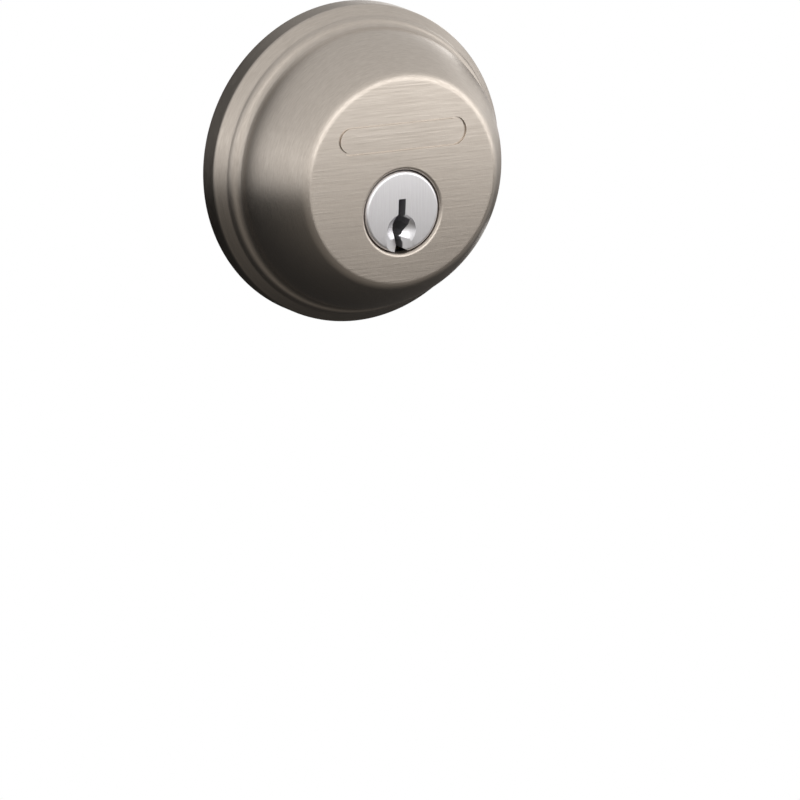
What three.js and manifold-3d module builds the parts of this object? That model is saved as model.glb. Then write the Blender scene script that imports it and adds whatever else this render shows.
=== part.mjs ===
// A single-cylinder deadbolt door lock, installed on a door that isn't part of it: the outside trim with its
// pin tumbler cylinder, the bolt mechanism, and the inside trim with its thumbturn.
// Millimetres, +Z up. The outside trim faces -Y, the bolt throws towards +X. The origin is the centre of the
// door's cross bore, in the plane of the door's outside face, where the outside rose rests.
import * as THREE from 'three';
import { mergeVertices } from 'three/addons/utils/BufferGeometryUtils.js';
import Module from 'manifold-3d';

const wasm = await Module();
wasm.setup();

// ---- The door that the lock fits ----
const DOOR = 44.45;                    // thickness, from y = 0 to y = DOOR
const BACKSET = 60.3;                  // from the cross bore's centre to the door's edge
const BOLT_Y = DOOR / 2;               // the bolt runs in the middle of the door, at z = 0
const SPINDLE_Z = -6.1;                // the plug, tailpiece, cam and thumbturn turn on this line
const GAP = 0.35;                      // clearance between neighbouring pieces

// ---- Outside trim ----
const ROSE_R = 32.5;
const RIM_H = 4.4;                     // height of the rose's side wall
const BEAD_R = 29.8;                   // crest of the bead round the dome's foot
const BEAD_H = 8.1;
const DOME_R = 28.4;                   // foot of the dome
const DOME_H = 9.7;
const FACE_R = 20.1;                   // flat front face
const FACE_H = 23.2;                   // how far the trim stands out from the door
const SHELL = 2.1;                     // wall thickness of the trim's castings
const ROSE_SIDES = 40;
const POST_Z = 20.6;                   // mounting posts, above and below the bolt
const POST_R = 4.2;
const BOSS_X = 13.5;                   // bosses that take the cylinder's screws

// ---- Cylinder and plug ----
const PLUG_FACE_R = 8.35;
const PLUG_FACE_Y = -23.1;
const PLUG_R = 6.2;
const FLANGE_BACK_Y = -18.55;
const BODY_R = 9.6;
const BODY_FRONT_Y = -18.2;
const BODY_BACK_Y = 8.6;
const BIBLE_W = 4.4;                   // half width of the block that holds the pin chambers
const BIBLE_TOP_Z = 12.4;
const COVER_Z = 10.9;                  // underside of the strip that closes the chambers
const PIN_COUNT = 5;
const PIN_FIRST_Y = -12.3;
const PIN_PITCH = 3.96;
const PIN_R = 1.4;
const KEY_PIN_LENGTHS = [4.6, 5.8, 5.2, 6.4, 4.9];
const SHEAR_Z = SPINDLE_Z + PLUG_R;    // top of the plug
const DRIVER_Z = SHEAR_Z + 0.45;
const DRIVER_LENGTH = 4.8;
const TAIL_R = 5.2;                    // the plug's threaded tail, under its cap
const TAIL_BACK_Y = 11.4;
const LUG_BACK_Y = 12.75;
const CAP_FRONT_Y = 9.3;
const CAP_BACK_Y = 14.4;
const CAP_R = 7.4;
const LOST_MOTION = Math.PI / 2;       // the plug turns this far before it drives the tailpiece
const LUG_SPAN = (2 * Math.PI - LOST_MOTION) / 2;    // the plug's lug and the tailpiece's tooth share it
const DRILL_PIN_R = 0.75;
const DRILL_PIN_END_Y = -11;
const BODY_SCREW_R = 1.5;

// ---- Tailpiece and cam ----
const TAIL_BAR_W = 2;
const TAIL_BAR_H = 6.2;
const TAIL_END_Y = 55;
const THROW = 25.4;
const CRANK_R = THROW / 2 / Math.sin(Math.PI / 4);   // a quarter turn carries the crank pin one throw
const CRANK_REST = -Math.PI / 4;       // the crank leans this far from upright with the bolt drawn back
const CRANK_PIN_R = 1.4;
const HUB_R = 4.3;
const HUB_HALF = 5.75;

// ---- Bolt mechanism ----
const CASE_HALF = 5.4;                 // half thickness of the case in the cross bore
const CASE_R = 12.4;                   // case and tube slide into a 25.4 mm edge bore
const SHEET = 0.85;
const CASE_BACK_X = -17.6;
const CASE_TOP_Z = 9;
const CASE_REAR_Z = 2;                 // the top edges slope down to this height at the back
const CASE_SLOPE_X = -9.6;             // where that slope starts
const TUBE_BACK_X = 22.5;
const FACE_PLATE_T = 2.5;
const BACK_PLATE_T = 1.3;
const FACE_PLATE_W = 25.4;
const FACE_PLATE_H = 57.15;
const BOLT_W = 15.2;
const BOLT_H = 18.4;
const BOLT_LENGTH = 34.8;
const LINK_HALF = 1.7;
const RIVET_R = 1.5;
const FORK_TOP_Z = 12;
const FACE_SCREW_R = 2.1;              // hole for a face plate screw
const ROLLER_R = 2.6;
const SCREW_PITCH_Z = 21.4;            // face plate screws, above and below the bolt

// ---- Inside trim ----
const INSIDE_H = 10.2;                 // how far the inside rose stands off the door
const INSIDE_FACE_Y = DOOR + INSIDE_H;
const INSIDE_WALL = 1.8;
const STEM_R = 5.8;
const STEM_END_Y = 47.9;
const TURN_H = 37;                     // length of the thumbturn's lever
const MOUNT_BOLT_R = 2.4;
const MOUNT_HEAD_R = 4.4;

// ---- Materials ----
const metal = (color, roughness, metalness = 1) =>
  new THREE.MeshStandardMaterial({ color, roughness, metalness });
const SATIN_NICKEL = metal(0xb5aba1, 0.38);
const BRIGHT_NICKEL = metal(0xc9cacc, 0.3);
const BRASS = metal(0xb9965a, 0.35);
const ZINC_STEEL = metal(0xb4b7ba, 0.42);
const DARK_STEEL = metal(0x6d7074, 0.4);
const SPRING_STEEL = metal(0x8c8f93, 0.35);
const NYLON = metal(0xe4e1d8, 0.6, 0);

// ---- Closed solids from three.js geometry ----
function signedVolume(vertices, triangles) {
  const corner = (k) => new THREE.Vector3().fromArray(vertices, 3 * triangles[k]);
  let volume = 0;
  for (let k = 0; k < triangles.length; k += 3) {
    volume += corner(k).dot(corner(k + 1).cross(corner(k + 2))) / 6;
  }
  return volume;
}

function solid(geometry) {
  geometry.deleteAttribute('normal');
  geometry.deleteAttribute('uv');
  const merged = mergeVertices(geometry);
  const vertProperties = Float32Array.from(merged.attributes.position.array);
  const triVerts = Uint32Array.from(merged.index.array);
  if (signedVolume(vertProperties, triVerts) < 0) {
    triVerts.reverse();
  }
  return new wasm.Manifold(new wasm.Mesh({ numProp: 3, vertProperties, triVerts }));
}

function box([x0, x1], [y0, y1], [z0, z1]) {
  const geometry = new THREE.BoxGeometry(x1 - x0, y1 - y0, z1 - z0);
  geometry.translate((x0 + x1) / 2, (y0 + y1) / 2, (z0 + z1) / 2);
  return solid(geometry);
}

// Round bars along each axis, from a to b, about a line through the two other coordinates.
// A second radius, at b, makes a cone.
function barY(r, [a, b], x = 0, z = 0, sides = 20, rEnd = r) {
  const geometry = new THREE.CylinderGeometry(rEnd, r, b - a, sides);
  geometry.translate(x, (a + b) / 2, z);
  return solid(geometry);
}

function barX(r, [a, b], y = BOLT_Y, z = 0, sides = 24, rEnd = r) {
  const geometry = new THREE.CylinderGeometry(rEnd, r, b - a, sides);
  geometry.rotateZ(-Math.PI / 2);
  geometry.translate((a + b) / 2, y, z);
  return solid(geometry);
}

function barZ(r, [a, b], x, y, sides = 12, rEnd = r) {
  const geometry = new THREE.CylinderGeometry(rEnd, r, b - a, sides);
  geometry.rotateX(Math.PI / 2);
  geometry.translate(x, y, (a + b) / 2);
  return solid(geometry);
}

// A profile in (radius, y), spun about the Y axis.
function spun(path, sides, curveSteps = 3) {
  return solid(new THREE.LatheGeometry(path.getPoints(curveSteps), sides));
}

const AXIS_X = new THREE.Vector3(1, 0, 0);
const AXIS_Y = new THREE.Vector3(0, 1, 0);
const AXIS_Z = new THREE.Vector3(0, 0, 1);

function extruded(shape, depth, options) {
  return new THREE.ExtrudeGeometry(shape, { depth, bevelEnabled: false, curveSegments: 3, ...options });
}

// An outline in (x, z), as thick as the span along Y.
function slabY(shape, [a, b], options) {
  const geometry = extruded(shape, b - a, options);
  geometry.applyMatrix4(new THREE.Matrix4().makeBasis(AXIS_X, AXIS_Z, AXIS_Y.clone().negate()));
  geometry.translate(0, b, 0);
  return solid(geometry);
}

// An outline in (y, z), as thick as the span along X.
function slabX(shape, [a, b], options) {
  const geometry = extruded(shape, b - a, options);
  geometry.applyMatrix4(new THREE.Matrix4().makeBasis(AXIS_Y, AXIS_Z, AXIS_X));
  geometry.translate(a, 0, 0);
  return solid(geometry);
}

function polygon(points) {
  return new THREE.Shape(points.map(([a, b]) => new THREE.Vector2(a, b)));
}

function roundedRectangle(w, h, r, cx = 0, cy = 0) {
  const shape = new THREE.Shape();
  shape.absarc(cx + w / 2 - r, cy + h / 2 - r, r, 0, Math.PI / 2);
  shape.absarc(cx - w / 2 + r, cy + h / 2 - r, r, Math.PI / 2, Math.PI);
  shape.absarc(cx - w / 2 + r, cy - h / 2 + r, r, Math.PI, 1.5 * Math.PI);
  shape.absarc(cx + w / 2 - r, cy - h / 2 + r, r, 1.5 * Math.PI, 2 * Math.PI);
  return shape;
}

// A sector of a ring about the spindle, from angle a0 to a1, where 0 is +Z and positive turns towards +X.
function ringSector(rInner, rOuter, a0, a1) {
  const shape = new THREE.Shape();
  shape.absarc(0, SPINDLE_Z, rOuter, Math.PI / 2 - a1, Math.PI / 2 - a0);
  shape.absarc(0, SPINDLE_Z, rInner, Math.PI / 2 - a0, Math.PI / 2 - a1, true);
  return shape;
}

const all = (first, ...rest) => rest.reduce((joined, next) => joined.add(next), first);
const cut = (body, ...tools) => tools.reduce((left, tool) => left.subtract(tool), body);

const lock = new THREE.Group();
lock.name = 'deadbolt_door_lock';

function put(name, body, material) {
  const { vertProperties, triVerts } = body.getMesh();
  const geometry = new THREE.BufferGeometry();
  geometry.setAttribute('position', new THREE.BufferAttribute(Float32Array.from(vertProperties), 3));
  geometry.setIndex(Array.from(triVerts));
  geometry.computeVertexNormals();
  const mesh = new THREE.Mesh(geometry, material);
  mesh.name = name;
  lock.add(mesh);
}

// ---- Shared outlines ----

// The stepped rim that both roses have, from the door out to the foot of the dome.
// `at` turns a height above the door into a y position.
function rim(path, at) {
  path.moveTo(ROSE_R - SHELL, at(0));
  path.lineTo(ROSE_R, at(0));
  path.lineTo(ROSE_R - 0.15, at(RIM_H));
  path.quadraticCurveTo(ROSE_R - 0.6, at(RIM_H + 1.3), ROSE_R - 2, at(BEAD_H - 1.4));
  path.quadraticCurveTo(BEAD_R + 0.3, at(BEAD_H), BEAD_R - 0.2, at(BEAD_H + 0.1));
  path.quadraticCurveTo(DOME_R + 0.5, at(BEAD_H + 0.4), DOME_R, at(DOME_H - 0.4));
}

// The hollow under a rose: straight up inside the rim, then in under the bead.
function hollow(path, at, rTop, hTop) {
  path.lineTo(0, at(hTop));
  path.lineTo(rTop, at(hTop));
  path.lineTo(DOME_R - SHELL, at(DOME_H - 1.6));
  path.lineTo(ROSE_R - SHELL, at(RIM_H - 1));
  path.lineTo(ROSE_R - SHELL, at(0));
}

// The keyway: a narrow slot for the key's blade, with the wards' steps, that runs out of the plug's underside.
// Its walls are given by how far across and how far above the spindle each corner is.
function keyway() {
  const right = [
    [1.1, 2.3], [1.1, -0.95], [0.75, -1.35], [1.85, -1.95], [1.45, -3.3], [0.4, -4.1], [0.15, -5.2],
    [0.5, -7.3], [1.9, -8.6],
  ];
  const left = [
    [-1.05, -8.6], [-0.9, -6.8], [-1.45, -5], [-1.75, -3.5], [-1.65, -2.1], [-0.45, -0.95], [-0.45, 2.3],
  ];
  return polygon([...right, ...left].map(([x, up]) => [x, SPINDLE_Z + up]));
}

function screwRecess(at, size, depth, along) {
  const [x, y, z] = at;
  const span = (c, half) => [c - half, c + half];
  const slots = [[size, size / 5], [size / 5, size]];
  const pieces = slots.map(([a, b]) => (along === 'y'
    ? box(span(x, a), span(y, depth), span(z, b))
    : box(span(x, depth), span(y, a), span(z, b))));
  return all(...pieces);
}

// ---- Outside trim ----

function outerHousing() {
  const at = (h) => -h;
  const profile = new THREE.Path();
  rim(profile, at);
  profile.lineTo(DOME_R, at(DOME_H));
  profile.bezierCurveTo(DOME_R - 0.3, at(14.6), FACE_R + 4.1, at(FACE_H - 3.4), FACE_R + 1.7, at(FACE_H - 0.76));
  profile.quadraticCurveTo(FACE_R + 1, at(FACE_H), FACE_R, at(FACE_H));
  profile.lineTo(0, at(FACE_H));
  hollow(profile, at, 18.6, FACE_H - SHELL);
  const shell = spun(profile, ROSE_SIDES);
  const posts = [-POST_Z, POST_Z].map((z) => barY(POST_R, [-17.5, 0], 0, z));
  const bosses = [-BOSS_X, BOSS_X].map((x) => barY(3.4, [1 - FACE_H, -3.35], x, 0, 16));
  const postHoles = [-POST_Z, POST_Z].map((z) => barY(MOUNT_BOLT_R + GAP, [-14, 1], 0, z, 16));
  const bossHoles = [-BOSS_X, BOSS_X].map((x) => barY(BODY_SCREW_R + GAP, [-13, 0], x, 0, 12));
  const plugHole = barY(PLUG_FACE_R + GAP, [-FACE_H - 1, SHELL - FACE_H + 1], 0, SPINDLE_Z, 40);
  return cut(all(shell, ...posts, ...bosses), ...postHoles, ...bossHoles, plugHole);
}

function guardPlate() {
  const y = [SHELL - FACE_H + GAP, BODY_FRONT_Y - GAP];
  const notches = [-BOSS_X, BOSS_X].map((x) => barY(3.4 + GAP, [y[0] - 1, y[1] + 1], x, 0, 16));
  const plugHole = barY(PLUG_FACE_R + GAP, [y[0] - 1, y[1] + 1], 0, SPINDLE_Z, 40);
  return cut(barY(15.8, y, 0, 0, 40), plugHole, ...notches);
}

const chamberY = (i) => PIN_FIRST_Y + i * PIN_PITCH;
const chambers = [...Array(PIN_COUNT).keys()];

function cylinderBody() {
  const length = [BODY_FRONT_Y, BODY_BACK_Y];
  const round = barY(BODY_R, length, 0, SPINDLE_Z, 32);
  const bible = box([-BIBLE_W, BIBLE_W], length, [SPINDLE_Z, BIBLE_TOP_Z]);
  const lugs = box([-BOSS_X - 3, BOSS_X + 3], [-3, 0], [-3.4, 3.4]);
  const bore = barY(PLUG_R + GAP, [BODY_FRONT_Y - 1, BODY_BACK_Y + 1], 0, SPINDLE_Z, 32);
  const holes = chambers.map((i) => barZ(PIN_R + GAP, [SPINDLE_Z, COVER_Z + 0.5], 0, chamberY(i)));
  const coverSlot = box([-3, 3], [BODY_FRONT_Y + 3, BODY_BACK_Y + 1], [COVER_Z - GAP, COVER_Z + 0.6]);
  const coverMouth = box([-2.2, 2.2], [BODY_FRONT_Y + 3, BODY_BACK_Y + 1], [COVER_Z, BIBLE_TOP_Z + 1]);
  const screwHoles = [-BOSS_X, BOSS_X].map((x) => barY(BODY_SCREW_R + GAP, [-4, 1], x, 0, 12));
  const drillPinHoles = [-1, 1].map((side) => {
    const [x, z] = drillPinPlace(side);
    return barY(DRILL_PIN_R + GAP, [BODY_FRONT_Y - 1, DRILL_PIN_END_Y + 0.4], x, z, 12);
  });
  return cut(all(round, bible, lugs), bore, ...holes, coverSlot, coverMouth, ...screwHoles, ...drillPinHoles);
}

// The hardened pins stand in the body beside the plug, 50 degrees either side of the pin chambers.
function drillPinPlace(side) {
  const angle = side * THREE.MathUtils.degToRad(50);
  const r = 8.1;
  return [r * Math.sin(angle), SPINDLE_Z + r * Math.cos(angle)];
}

function plug() {
  const face = barY(PLUG_FACE_R, [PLUG_FACE_Y, FLANGE_BACK_Y], 0, SPINDLE_Z, 40);
  const barrel = barY(PLUG_R, [FLANGE_BACK_Y - 0.5, CAP_FRONT_Y - GAP], 0, SPINDLE_Z, 32);
  const tail = barY(TAIL_R, [CAP_FRONT_Y - 1, TAIL_BACK_Y], 0, SPINDLE_Z, 32);
  const lug = slabY(ringSector(3.75, TAIL_R, -LUG_SPAN, 0), [TAIL_BACK_Y - 0.5, LUG_BACK_Y], { curveSegments: 6 });
  const slot = slabY(keyway(), [PLUG_FACE_Y - 1, CAP_FRONT_Y - 1.5]);
  const recess = barY(3.1, [PLUG_FACE_Y - 1, PLUG_FACE_Y + 0.8], 0.25, SPINDLE_Z - 3.85, 24);
  const holes = chambers.map((i) => barZ(PIN_R + GAP, [SPINDLE_Z - 1, SPINDLE_Z + 9], 0, chamberY(i)));
  const keyGroove = barY(1, [CAP_FRONT_Y - GAP, TAIL_BACK_Y], ...capPinPlace(), 12);
  return cut(all(face, barrel, tail, lug), slot, recess, ...holes, keyGroove);
}

// The cap's locking pin lies half in the plug's tail and half in the cap.
function capPinPlace() {
  const angle = THREE.MathUtils.degToRad(135);
  const r = TAIL_R + GAP / 2;
  return [r * Math.sin(angle), SPINDLE_Z + r * Math.cos(angle)];
}

function plugCap() {
  const cup = barY(CAP_R, [CAP_FRONT_Y, CAP_BACK_Y], 0, SPINDLE_Z, 32);
  const cavity = barY(TAIL_R + GAP, [CAP_FRONT_Y - 1, LUG_BACK_Y + GAP], 0, SPINDLE_Z, 32);
  const hole = barY(3.65, [CAP_FRONT_Y, CAP_BACK_Y + 1], 0, SPINDLE_Z, 24);
  const keyGroove = barY(1, [CAP_FRONT_Y - 1, TAIL_BACK_Y], ...capPinPlace(), 12);
  const notches = [0, 1, 2, 3, 4, 5].map((k) => {
    const angle = (k * Math.PI) / 3;
    return barY(0.8, [CAP_FRONT_Y - 1, CAP_BACK_Y + 1], (CAP_R + 0.2) * Math.sin(angle),
      SPINDLE_Z + (CAP_R + 0.2) * Math.cos(angle), 10);
  });
  return cut(cup, cavity, hole, keyGroove, ...notches);
}

function keyPin(i) {
  const top = SHEAR_Z - 0.1;
  const tip = top - KEY_PIN_LENGTHS[i];
  const shank = barZ(PIN_R, [tip + 0.9, top], 0, chamberY(i));
  return shank.add(barZ(0.4, [tip, tip + 0.9], 0, chamberY(i), 12, PIN_R));
}

function driverPin(i) {
  const top = DRIVER_Z + DRIVER_LENGTH;
  const y = chamberY(i);
  const spool = barZ(PIN_R - 0.35, [DRIVER_Z + 0.8, top - 0.8], 0, y);
  return all(spool, barZ(PIN_R, [DRIVER_Z, DRIVER_Z + 1.2], 0, y), barZ(PIN_R, [top - 1.2, top], 0, y));
}

class Helix extends THREE.Curve {
  constructor(radius, turns, [low, high], y) {
    super();
    Object.assign(this, { radius, turns, low, high, y });
  }

  getPoint(t) {
    const angle = 2 * Math.PI * this.turns * t;
    const height = THREE.MathUtils.lerp(this.low, this.high, t);
    return new THREE.Vector3(this.radius * Math.cos(angle), this.y + this.radius * Math.sin(angle), height);
  }
}

function driverSpring(i) {
  const wire = new THREE.Shape().absarc(0, 0, 0.2, 0, 2 * Math.PI);
  const low = DRIVER_Z + DRIVER_LENGTH + 0.35;
  const high = COVER_Z - 0.65;
  const turns = 5;
  const extrudePath = new Helix(1.05, turns, [low, high], chamberY(i));
  return solid(new THREE.ExtrudeGeometry(wire, { steps: turns * 7, curveSegments: 2, extrudePath }));
}

function tailpiece() {
  const bar = box([-TAIL_BAR_W / 2, TAIL_BAR_W / 2], [LUG_BACK_Y - 0.5, TAIL_END_Y],
    [SPINDLE_Z - TAIL_BAR_H / 2, SPINDLE_Z + TAIL_BAR_H / 2]);
  const flange = barY(3.4, [TAIL_BACK_Y + GAP, LUG_BACK_Y], 0, SPINDLE_Z, 24);
  const clearance = 0.07;
  const tooth = slabY(ringSector(2.5, TAIL_R - 0.1, clearance, LUG_SPAN - clearance),
    [TAIL_BACK_Y + GAP, LUG_BACK_Y], { curveSegments: 6 });
  return all(bar, flange, tooth);
}

function cylinderScrew(x) {
  const shank = barY(BODY_SCREW_R, [-12, 1.2], x, 0, 12);
  const head = barY(2.9, [GAP, 2.4], x, 0, 16, 2.3);
  return cut(shank.add(head), screwRecess([x, 2.4, 0], 1.7, 1.1, 'y'));
}

function buildOutsideTrim() {
  put('outer_housing', outerHousing(), SATIN_NICKEL);
  put('guard_plate', guardPlate(), DARK_STEEL);
  put('cylinder_body', cylinderBody(), BRASS);
  put('chamber_cover', box([-2.6, 2.6], [BODY_FRONT_Y + 3.4, BODY_BACK_Y - 0.2], [COVER_Z, COVER_Z + 0.25]),
    BRASS);
  put('plug', plug(), BRIGHT_NICKEL);
  put('plug_cap', plugCap(), BRASS);
  put('plug_cap_pin', barY(0.65, [CAP_FRONT_Y + 0.1, TAIL_BACK_Y - 0.4], ...capPinPlace(), 10), DARK_STEEL);
  for (const i of chambers) {
    put(`key_pin_${i + 1}`, keyPin(i), BRASS);
    put(`driver_pin_${i + 1}`, driverPin(i), BRASS);
    put(`driver_spring_${i + 1}`, driverSpring(i), SPRING_STEEL);
  }
  for (const [name, side] of [['left', -1], ['right', 1]]) {
    const [x, z] = drillPinPlace(side);
    put(`anti_drill_pin_${name}`, barY(DRILL_PIN_R, [BODY_FRONT_Y + 0.3, DRILL_PIN_END_Y], x, z, 10), DARK_STEEL);
    put(`cylinder_screw_${name}`, cylinderScrew(side * BOSS_X), ZINC_STEEL);
  }
  put('tailpiece', tailpiece(), ZINC_STEEL);
}

// ---- Bolt mechanism ----

// The cam: a hub that the tailpiece turns, with a crank beside the link and a pin through the link's fork.
function boltCam() {
  const x = CRANK_R * Math.sin(CRANK_REST);
  const z = SPINDLE_Z + CRANK_R * Math.cos(CRANK_REST);
  const hub = barY(HUB_R, [BOLT_Y - HUB_HALF, BOLT_Y + HUB_HALF], 0, SPINDLE_Z);
  const armY = [BOLT_Y - 4.3, BOLT_Y - 2.1];
  const arm = new THREE.Shape();
  arm.absarc(0, SPINDLE_Z, HUB_R - 0.1, -CRANK_REST + Math.PI, -CRANK_REST + 2 * Math.PI);
  arm.absarc(x, z, 2.4, -CRANK_REST, -CRANK_REST + Math.PI);
  const pin = barY(CRANK_PIN_R, [armY[0] + 0.5, BOLT_Y + 2.3], x, z, 16);
  const slot = box([-1.3, 1.3], [BOLT_Y - 10, BOLT_Y + 10], [SPINDLE_Z - 3.4, SPINDLE_Z + 3.4]);
  return cut(all(hub, slabY(arm, armY), pin), slot);
}

// The link: a bar from the bolt back to a fork whose open slot holds the crank pin.
function boltLink() {
  const pinX = -THROW / 2;
  const slotHalf = CRANK_PIN_R + 0.65;
  const rear = pinX - slotHalf - 1.65;
  const fork = pinX + slotHalf + 3.2;
  const front = BACKSET - BOLT_LENGTH + 7.5;
  const outline = polygon([
    [rear, -0.8], [6.5, -0.8], [8.5, -4.5], [front, -4.5], [front, 4.5], [fork + 4, 4.5], [fork, 7],
    [fork, FORK_TOP_Z], [pinX + slotHalf, FORK_TOP_Z], [pinX + slotHalf, 4.7], [pinX - slotHalf, 4.7],
    [pinX - slotHalf, FORK_TOP_Z], [rear + 0.7, FORK_TOP_Z], [rear, FORK_TOP_Z - 1.6],
  ]);
  const plate = slabY(outline, [BOLT_Y - LINK_HALF, BOLT_Y + LINK_HALF]);
  return plate.subtract(barY(RIVET_R + GAP, [BOLT_Y - 3, BOLT_Y + 3], linkRivetX(), 0, 12));
}

const linkRivetX = () => BACKSET - BOLT_LENGTH + 3.6;

function bolt() {
  const back = BACKSET - BOLT_LENGTH;
  const bevel = { bevelEnabled: true, bevelThickness: 0.9, bevelSize: 0.9, bevelOffset: -0.9, bevelSegments: 1 };
  const bar = slabX(roundedRectangle(BOLT_W, BOLT_H, 3, BOLT_Y, 0), [back + 0.9, BACKSET - 0.9], bevel);
  const linkSlot = box([back - 1, back + 8], [BOLT_Y - LINK_HALF - GAP, BOLT_Y + LINK_HALF + GAP], [-5, 5]);
  const rollerBore = barX(ROLLER_R + 0.3, [back + 7.5, BACKSET - 3], BOLT_Y, 0, 20);
  const rivetHole = barY(RIVET_R + GAP, [BOLT_Y - 9, BOLT_Y + 9], linkRivetX(), 0, 12);
  return cut(bar, linkSlot, rollerBore, rivetHole);
}

// The tube in the door's edge bore, and the open-topped case in the cross bore.
function boltTube() {
  const x = [TUBE_BACK_X, BACKSET - FACE_PLATE_T - BACK_PLATE_T - 2 * GAP];
  const tube = barX(CASE_R, x, BOLT_Y, 0, 32);
  return tube.subtract(barX(CASE_R - SHEET, [x[0] - 1, x[1] + 1], BOLT_Y, 0, 32));
}

function boltCase() {
  const x = [CASE_BACK_X, TUBE_BACK_X - GAP];
  const sides = (half) => [BOLT_Y - half, BOLT_Y + half];
  const outside = barX(CASE_R, x, BOLT_Y, 0, 32).intersect(box([-30, 30], sides(CASE_HALF), [-20, CASE_TOP_Z]));
  const inside = barX(CASE_R - SHEET, [x[0] + SHEET, x[1] + 9], BOLT_Y, 0, 32)
    .intersect(box([-30, 40], sides(CASE_HALF - SHEET), [-20, 20]));
  const collar = barX(CASE_R - SHEET - GAP, [x[1] - 0.5, x[1] + 2.6], BOLT_Y, 0, 32);
  const linkWay = box([x[1] - 5, x[1] + 9], sides(LINK_HALF + 1), [-5.2, 5.2]);
  const cheeks = cut(outside, inside);
  const hubHole = barY(HUB_R + 0.3, sides(20), 0, SPINDLE_Z);
  const above = CASE_TOP_Z + 9;
  const slope = polygon([[CASE_BACK_X, CASE_REAR_Z], [CASE_SLOPE_X, CASE_TOP_Z], [CASE_SLOPE_X, above],
    [CASE_BACK_X - 1, above], [CASE_BACK_X - 1, CASE_REAR_Z]]);
  return cut(cheeks.add(cut(collar, linkWay)), hubHole, slabY(slope, sides(20)));
}

function plateOutline(w, h, r) {
  return roundedRectangle(w, h, r, BOLT_Y, 0);
}

function facePlate() {
  const x = [BACKSET - FACE_PLATE_T, BACKSET];
  const plate = slabX(plateOutline(FACE_PLATE_W, FACE_PLATE_H, 6.35), x);
  const opening = slabX(plateOutline(BOLT_W + 2 * GAP, BOLT_H + 2 * GAP, 3.3), [x[0] - 1, x[1] + 1]);
  const holes = [-SCREW_PITCH_Z, SCREW_PITCH_Z].flatMap((z) => [
    barX(FACE_SCREW_R + GAP, [x[0] - 1, x[1] + 1], BOLT_Y, z, 20),
    barX(FACE_SCREW_R + GAP, [x[1] - 2.2, x[1] + 0.1], BOLT_Y, z, 20, 4.2 + GAP),
  ]);
  return cut(plate, opening, ...holes);
}

function backPlate() {
  const front = BACKSET - FACE_PLATE_T - GAP;
  const x = [front - BACK_PLATE_T, front];
  const plate = slabX(plateOutline(FACE_PLATE_W - 1, FACE_PLATE_H - 1, 5.85), x);
  const opening = slabX(plateOutline(BOLT_W + 2 * GAP, BOLT_H + 2 * GAP, 3.3), [x[0] - 1, x[1] + 1]);
  const holes = [-SCREW_PITCH_Z, SCREW_PITCH_Z].map((z) => (
    barX(FACE_SCREW_R + GAP, [x[0] - 1, x[1] + 1], BOLT_Y, z, 16)));
  return cut(plate, opening, ...holes);
}

function facePlateScrew(z) {
  const head = barX(1.9, [BACKSET - 2.3, BACKSET - 0.1], BOLT_Y, z, 20, 4.1);
  const shank = barX(1.9, [BACKSET - 16, BACKSET - 2], BOLT_Y, z, 12);
  const point = barX(0.3, [BACKSET - 20, BACKSET - 16], BOLT_Y, z, 12, 1.9);
  return cut(all(head, shank, point), screwRecess([BACKSET, BOLT_Y, z], 2.2, 1.4, 'x'));
}

function buildBoltMechanism() {
  put('bolt_cam', boltCam(), ZINC_STEEL);
  put('bolt_link', boltLink(), ZINC_STEEL);
  put('link_rivet', barY(RIVET_R, [BOLT_Y - BOLT_W / 2 + 0.2, BOLT_Y + BOLT_W / 2 - 0.2], linkRivetX(), 0, 12),
    ZINC_STEEL);
  put('bolt', bolt(), BRASS);
  put('roller_pin', barX(ROLLER_R, [BACKSET - BOLT_LENGTH + 8, BACKSET - 3.5], BOLT_Y, 0, 16), DARK_STEEL);
  put('bolt_tube', boltTube(), ZINC_STEEL);
  put('bolt_case', boltCase(), ZINC_STEEL);
  put('face_plate', facePlate(), SATIN_NICKEL);
  put('back_plate', backPlate(), ZINC_STEEL);
  put('face_plate_screw_upper', facePlateScrew(SCREW_PITCH_Z), SATIN_NICKEL);
  put('face_plate_screw_lower', facePlateScrew(-SCREW_PITCH_Z), SATIN_NICKEL);
}

// ---- Inside trim ----

function supportPlate() {
  const y = [DOOR + 0.3, DOOR + 1.9];
  const plate = barY(29.3, y, 0, 0, 48);
  const window = barY(9.6, [y[0] - 1, y[1] + 1], 0, SPINDLE_Z);
  const holes = [-POST_Z, POST_Z].map((z) => barY(MOUNT_BOLT_R + GAP, [y[0] - 1, y[1] + 1], 0, z, 16));
  return cut(plate, window, ...holes);
}

function insideRose() {
  const at = (h) => DOOR + h;
  const profile = new THREE.Path();
  rim(profile, at);
  profile.lineTo(DOME_R - 0.3, at(DOME_H - 0.1));
  profile.quadraticCurveTo(DOME_R - 1, at(INSIDE_H), DOME_R - 2, at(INSIDE_H));
  profile.lineTo(0, at(INSIDE_H));
  hollow(profile, at, DOME_R - SHELL - 0.6, INSIDE_H - INSIDE_WALL);
  const y = [INSIDE_FACE_Y - INSIDE_WALL - 1, INSIDE_FACE_Y + 1];
  const bushHole = barY(STEM_R + 4 * GAP + 0.7, y, 0, SPINDLE_Z, 32);
  const screwHoles = [-POST_Z, POST_Z].flatMap((z) => [
    barY(MOUNT_BOLT_R + GAP, y, 0, z, 16),
    barY(MOUNT_BOLT_R + GAP, [INSIDE_FACE_Y - 2, INSIDE_FACE_Y + 0.1], 0, z, 24, MOUNT_HEAD_R + GAP),
  ]);
  return cut(spun(profile, ROSE_SIDES), bushHole, ...screwHoles);
}

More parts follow.
